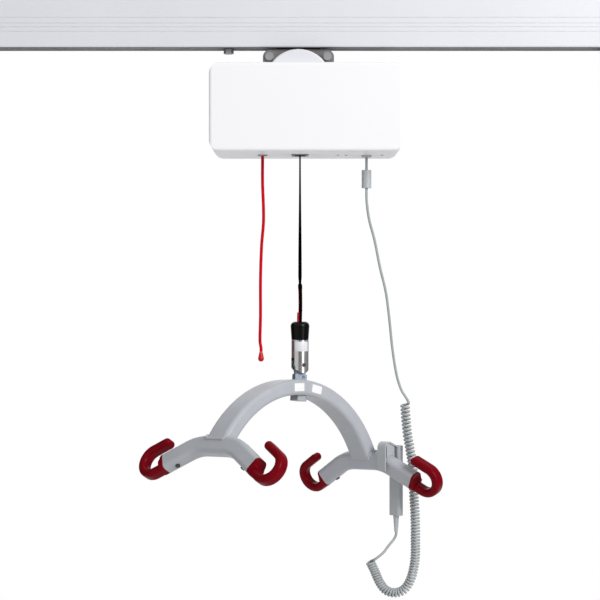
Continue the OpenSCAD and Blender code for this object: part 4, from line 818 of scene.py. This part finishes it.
def finish(
    name, colour, rough, metallic=0.0, tone=(18.0, 0.04), grain=(900.0, 0.00003), edge=None,
    relief=None, under=None, specular=0.5,
):
    """Material: tone (scale, spread) and edge (radius, amount, colour) make the base colour,
    smudges the roughness, grain (scale, depth) and relief the normal; the relief's height also
    paints shade and light into the base colour. Below the level in under (level, colour), the base
    colour changes to a second, darker one, as painted shade on an underside."""
    material = bpy.data.materials.new(name)
    material.use_nodes = True
    tree = material.node_tree
    shader = tree.nodes["Principled BSDF"].inputs
    shader["Metallic"].default_value = metallic
    shader["Specular IOR Level"].default_value = specular

    def effect(group, **values):
        """Place a node group with its own values; gives back its output."""
        node = tree.nodes.new("ShaderNodeGroup")
        node.node_tree = group
        for key, value in values.items():
            node.inputs[key].default_value = value
        return node.outputs[0]

    paint = effect(TONE, Color=linear(*colour), Scale=tone[0], Spread=tone[1])
    # Paler edges: wear, and on the hooks partly painted highlight.
    if edge:
        radius, amount, pale_edge_colour = edge
        paler_edge = effect(EDGE, Radius=radius, Amount=amount)
        paint = mix_colours(tree, paler_edge, paint, linear(*pale_edge_colour))
    # Below the level the colour turns darker: painted shade on the underside.
    if under:
        level, lower = under
        split = add(tree, "SeparateXYZ")
        tree.links.new(add(tree, "TexCoord").outputs["Object"], split.inputs[0])
        below = between(tree, split.outputs[2], level + UNDERSIDE_SHADE_FADE, level, 0.0, 1.0)
        paint = mix_colours(tree, below, paint, linear(*lower))
    bump = add(tree, "Bump", Distance=grain[1])
    tree.links.new(effect(GRAIN, Scale=grain[0]), bump.inputs["Height"])
    if relief:
        group, values, depth, dark = relief
        height = effect(group, **values)
        raised = add(tree, "Bump", Distance=depth)
        tree.links.new(height, raised.inputs["Height"])
        tree.links.new(bump.outputs[0], raised.inputs["Normal"])
        bump = raised
        # The height also tints the colour: painted shade in the low parts, painted light on the
        # high parts.
        tint = between(tree, height, 0.0, 1.0, 1.0 - dark, 1.0 + dark)
        paint = mix_colours(tree, 1.0, paint, tint, "MULTIPLY")
    tree.links.new(paint, shader["Base Color"])
    tree.links.new(effect(SMUDGE, Roughness=rough), shader["Roughness"])
    tree.links.new(bump.outputs[0], shader["Normal"])
    return material


# %% One finish for each slot
# A relief is a node group, its values, its depth in metres and the share by which it shades the
# colour: painted shade in its low parts and painted light on its high parts
TURNED = (LINES, {"Scale": 20.0}, 0.00003, 0.10)
PULLED = (DRAWN, {"Scale": 6.0}, 0.00001, 0.012)
TAPE = (WEAVE, {"Across": 22.0, "Along": 420.0}, 0.00012, 0.3)
BRAID = (WEAVE, {"Across": 4.0, "Along": 160.0, "Skew": 1.0}, 0.0002, 0.22)

FINISH = {
    # The rail's dark underside colour is painted shade.
    "rail_metal": finish(
        "rail_aluminium", (220, 221, 226), 0.5, 0.1, relief=PULLED, tone=(3.0, 0.015),
        under=(-0.1096, (64, 63, 66)),
    ),
    "end_plastic": finish("end_plastic", (150, 152, 156), 0.5),
    "steel": finish("turned_steel", (214, 213, 212), 0.13, 1.0, relief=TURNED),
    "dark_steel": finish("blackened_steel", (70, 70, 74), 0.38, 0.9, tone=(60.0, 0.12)),
    "zinc": finish(
        "zinc_plate", (134, 145, 158), 0.42, 0.5, tone=(120.0, 0.09),
        edge=(0.0006, 0.3, (186, 192, 200)),
    ),
    "bolt_steel": finish("bolt_steel", (150, 151, 155), 0.4, 0.5, tone=(80.0, 0.08)),
    "cast": finish(
        "cast_aluminium", (122, 119, 117), 0.45, 0.5, tone=(90.0, 0.1), grain=(420.0, 0.00012)
    ),
    "nylon": finish("nylon", (226, 224, 214), 0.45),
    "rubber": finish(
        "rubber", (3, 3, 5), 0.13, tone=(30.0, 0.15), specular=0.16, grain=(1400.0, 0.00002)
    ),
    "casing_white": finish(
        "casing_white", (246, 246, 248), 0.45, tone=(5.0, 0.006), grain=(1500.0, 0.000025),
        specular=0.25,
    ),
    "dome_white": finish("dome_grey_white", (226, 226, 231), 0.34, tone=(8.0, 0.015)),
    "drum_metal": finish("drum_alloy", (176, 178, 182), 0.35, 1.0, relief=TURNED),
    "gear_metal": finish("gear_brass", (186, 156, 92), 0.3, 1.0, tone=(80.0, 0.08)),
    "motor_metal": finish("motor_shell", (120, 122, 126), 0.4, 0.9, relief=TURNED),
    "battery": finish("battery_case", (58, 62, 70), 0.5),
    "board": finish("circuit_board", (24, 84, 52), 0.4, tone=(160.0, 0.2)),
    "lamp": finish("lamp_lens", (120, 122, 124), 0.15),
    "strap": finish(
        "strap_webbing", (6, 6, 8), 0.7, tone=(200.0, 0.2), specular=0.0, relief=TAPE
    ),
    "red_cord": finish(
        "red_braid", (208, 6, 32), 0.55, tone=(150.0, 0.08), specular=0.05, relief=BRAID
    ),
    "red_knob": finish("red_knob", (208, 6, 34), 0.22, specular=0.25),
    "bar_paint": finish(
        "bar_powder_coat", (181, 184, 190), 0.44, tone=(30.0, 0.03), grain=(620.0, 0.00002),
        edge=(0.0015, 0.25, (206, 208, 212)), specular=0.3,
    ),
    # The hooks' paler edges are partly wear and partly painted highlight on their lit edges.
    "hook_red": finish(
        "hook_rubber_red", (120, 0, 17), 0.3, tone=(70.0, 0.08), grain=(700.0, 0.00003),
        edge=(0.0016, 0.35, (176, 36, 54)), specular=0.06,
    ),
    "handset_grey": finish("handset_grey", (182, 186, 190), 0.42, tone=(22.0, 0.025)),
    "button_grey": finish("button_grey", (112, 116, 122), 0.5),
    "cable_grey": finish("cable_grey", (168, 173, 175), 0.42, tone=(60.0, 0.03)),
    "bearing_brass": finish("bearing_brass", (190, 160, 100), 0.3, 1.0, relief=TURNED),
}
print("finishes:", len(FINISH))

# %% [markdown]
# ## Dressing the pieces
# Every CAD part takes the finish of its own material slot, and every new piece that of the slot it
# names. The bolts that show are plated, not polished as the other steel parts are, so they take a
# duller finish.

# %% Dressing the pieces
BARE_BOLTS = {"yoke_bolts", "stop_bolts", "lug_nut"}


def dress(piece, material):
    """Give every material slot of a piece one finish, and a slot if it has none."""
    if not piece.material_slots:
        piece.data.materials.append(None)
    for place in piece.material_slots:
        place.material = material


for part in frame["record"]["subparts"]:
    slot = "bolt_steel" if part["node"] in BARE_BOLTS else part["material_slot"]
    dress(frame["nodes"][part["node"]], FINISH[slot])
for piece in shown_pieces():
    if "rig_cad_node" not in piece:
        dress(piece, FINISH[piece["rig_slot"]])

# %% [markdown]
# ## Studio
# A pale floor lies well below, since the hoist hangs from a ceiling. Near the object it is plain
# and takes the shadow; further out, and for reflections, it is as white as the background. Grey
# cards and a light strip that only reflections see give the polished steel its bands, as flags and
# strip lights do in a studio.

# %% World
AMBIENT = 0.46
WHITE = (1, 1, 1, 1)
BLACK = (0, 0, 0, 1)


def backdrop_rays(tree):
    """Two masks: 1 for a ray that looks straight at the background, mirrors it or passes through
    glass to it, and 1 for one that looks straight at it."""
    path = add(tree, "LightPath").outputs
    seen = calc(tree, "MAXIMUM", path["Is Camera Ray"], path["Is Glossy Ray"])
    return calc(tree, "MAXIMUM", seen, path["Is Transmission Ray"]), path["Is Camera Ray"]


world = bpy.data.worlds.new("white_studio")
scene.world = world
world.use_nodes = True
sky = world.node_tree
seen, _ = backdrop_rays(sky)
sky_colour = mix_colours(sky, seen, (AMBIENT, AMBIENT, AMBIENT, 1), WHITE)
sky.links.new(sky_colour, sky.nodes["Background"].inputs["Color"])
print("ambient light", AMBIENT)

# %% Floor
FLOOR_Z = -2.95
FLOOR_HALF, FLOOR_LINES = 9, 19
FLOOR_ROUGH, FLOOR_SPECULAR = 0.9, 0.1
FLOOR_LOW, FLOOR_HIGH, FLOOR_SPECKLE = 0.88, 0.92, 40.0
# The floor keeps its shadow out to the first radius, and is white from the second one on
SHADOW_NEAR, SHADOW_FAR = 0.35, 0.75
FAR_DIM = 0.96

floor_paint = bpy.data.materials.new("pale_floor")
floor_paint.use_nodes = True
tree = floor_paint.node_tree
matte = tree.nodes["Principled BSDF"]
matte.inputs["Roughness"].default_value = FLOOR_ROUGH
matte.inputs["Specular IOR Level"].default_value = FLOOR_SPECULAR
flat = add(tree, "VectorMath", operation="MULTIPLY")
flat.inputs[1].default_value = (1, 1, 0)
tree.links.new(add(tree, "TexCoord").outputs["Object"], flat.inputs[0])
reach = add(tree, "VectorMath", operation="LENGTH")
tree.links.new(flat.outputs[0], reach.inputs[0])
far = between(tree, reach.outputs["Value"], SHADOW_NEAR, SHADOW_FAR, 0.0, 1.0)
noise = object_noise(tree, FLOOR_SPECKLE)
speckle = between(tree, noise, NOISE_LOW, NOISE_HIGH, FLOOR_LOW, FLOOR_HIGH)
dim = between(tree, far, 0.0, 1.0, 1.0, FAR_DIM)
tree.links.new(calc(tree, "MULTIPLY", speckle, dim), matte.inputs["Base Color"])
seen, direct = backdrop_rays(tree)
near_shadow = calc(tree, "MULTIPLY", direct, calc(tree, "SUBTRACT", 1.0, far))
join = add(tree, "MixShader")
tree.links.new(calc(tree, "SUBTRACT", seen, near_shadow), join.inputs[0])
tree.links.new(matte.outputs[0], join.inputs[1])
tree.links.new(add(tree, "Emission", Strength=1.0).outputs[0], join.inputs[2])
tree.links.new(join.outputs[0], tree.nodes["Material Output"].inputs["Surface"])

span = np.linspace(-FLOOR_HALF, FLOOR_HALF, FLOOR_LINES)
gx, gy = np.meshgrid(span, span, indexing="ij")
floor_grid = np.stack([gx, gy, np.full_like(gx, FLOOR_Z)], -1)
floor = grid_piece("floor", floor_grid, caps=False, wrap=False)
floor.data.flip_normals()
dress(floor, floor_paint)
print("floor at", FLOOR_Z, "m")

# %% Lamps
# Each lamp's place, what it is aimed at, its size in metres and its power in watts
LAMPS = {
    "key": ((3.0, -3.45, 1.5), (0, 0, -0.45), 2.4, 172.0),
    "fill": ((-2.2, -2.6, 0.2), (0, 0, -0.5), 2.0, 6.0),
    "back": ((-0.6, 2.4, 0.6), (0, 0, -0.5), 2.0, 8.0),
}


def aim(place, target):
    """Turn that points a lamp's -Z from place to target."""
    return (Vector(target) - Vector(place)).to_track_quat("-Z", "Y").to_euler()


for name, (place, target, size, watts) in LAMPS.items():
    lamp = bpy.data.lights.new(name, "AREA")
    lamp.size, lamp.energy = size, watts
    holder = bpy.data.objects.new(name, lamp)
    holder.location, holder.rotation_euler = place, aim(place, target)
    scene.collection.objects.link(holder)
print("lamps:", len(LAMPS))

# %% Cards for reflections
CARD_LINES = 3
CARD_HEIGHTS = (-1.35, 0.3)
# Each card's two ends on the plan, its lowest and highest edge and its brightness
CARDS = {
    "camera_card": ((-1.5, -3.9), (1.7, -3.9), CARD_HEIGHTS, 0.22),
    "near_left_card": ((-1.5, -3.9), (-2.2, -0.4), CARD_HEIGHTS, 0.7),
    "left_card": ((-1.3, -0.3), (-0.9, 1.6), CARD_HEIGHTS, 0.12),
    "light_strip": ((1.55, -2.57), (2.4, -1.81), (-1.3, -0.64), 2.0),
    "near_right_card": ((2.2, -1.4), (1.45, 0.1), CARD_HEIGHTS, 0.35),
    "right_card": ((1.4, 0.1), (1.0, 1.6), CARD_HEIGHTS, 0.25),
}

for name, (start, stop, heights, strength) in CARDS.items():
    paint = bpy.data.materials.new(name)
    paint.use_nodes = True
    shade = paint.node_tree.nodes["Principled BSDF"].inputs
    shade["Base Color"].default_value = BLACK
    shade["Specular IOR Level"].default_value = 0.0
    shade["Emission Color"].default_value = WHITE
    shade["Emission Strength"].default_value = strength
    along, up = np.linspace(0, 1, CARD_LINES), np.linspace(*heights, CARD_LINES)
    t, z = np.meshgrid(along, up, indexing="ij")
    x, y = (a + (b - a) * t for a, b in zip(start, stop))
    card = grid_piece(name, np.stack([x, y, z], -1), caps=False, wrap=False)
    dress(card, paint)
    card.visible_camera = card.visible_diffuse = False
    card.visible_shadow = card.visible_transmission = False
print("cards:", len(CARDS))
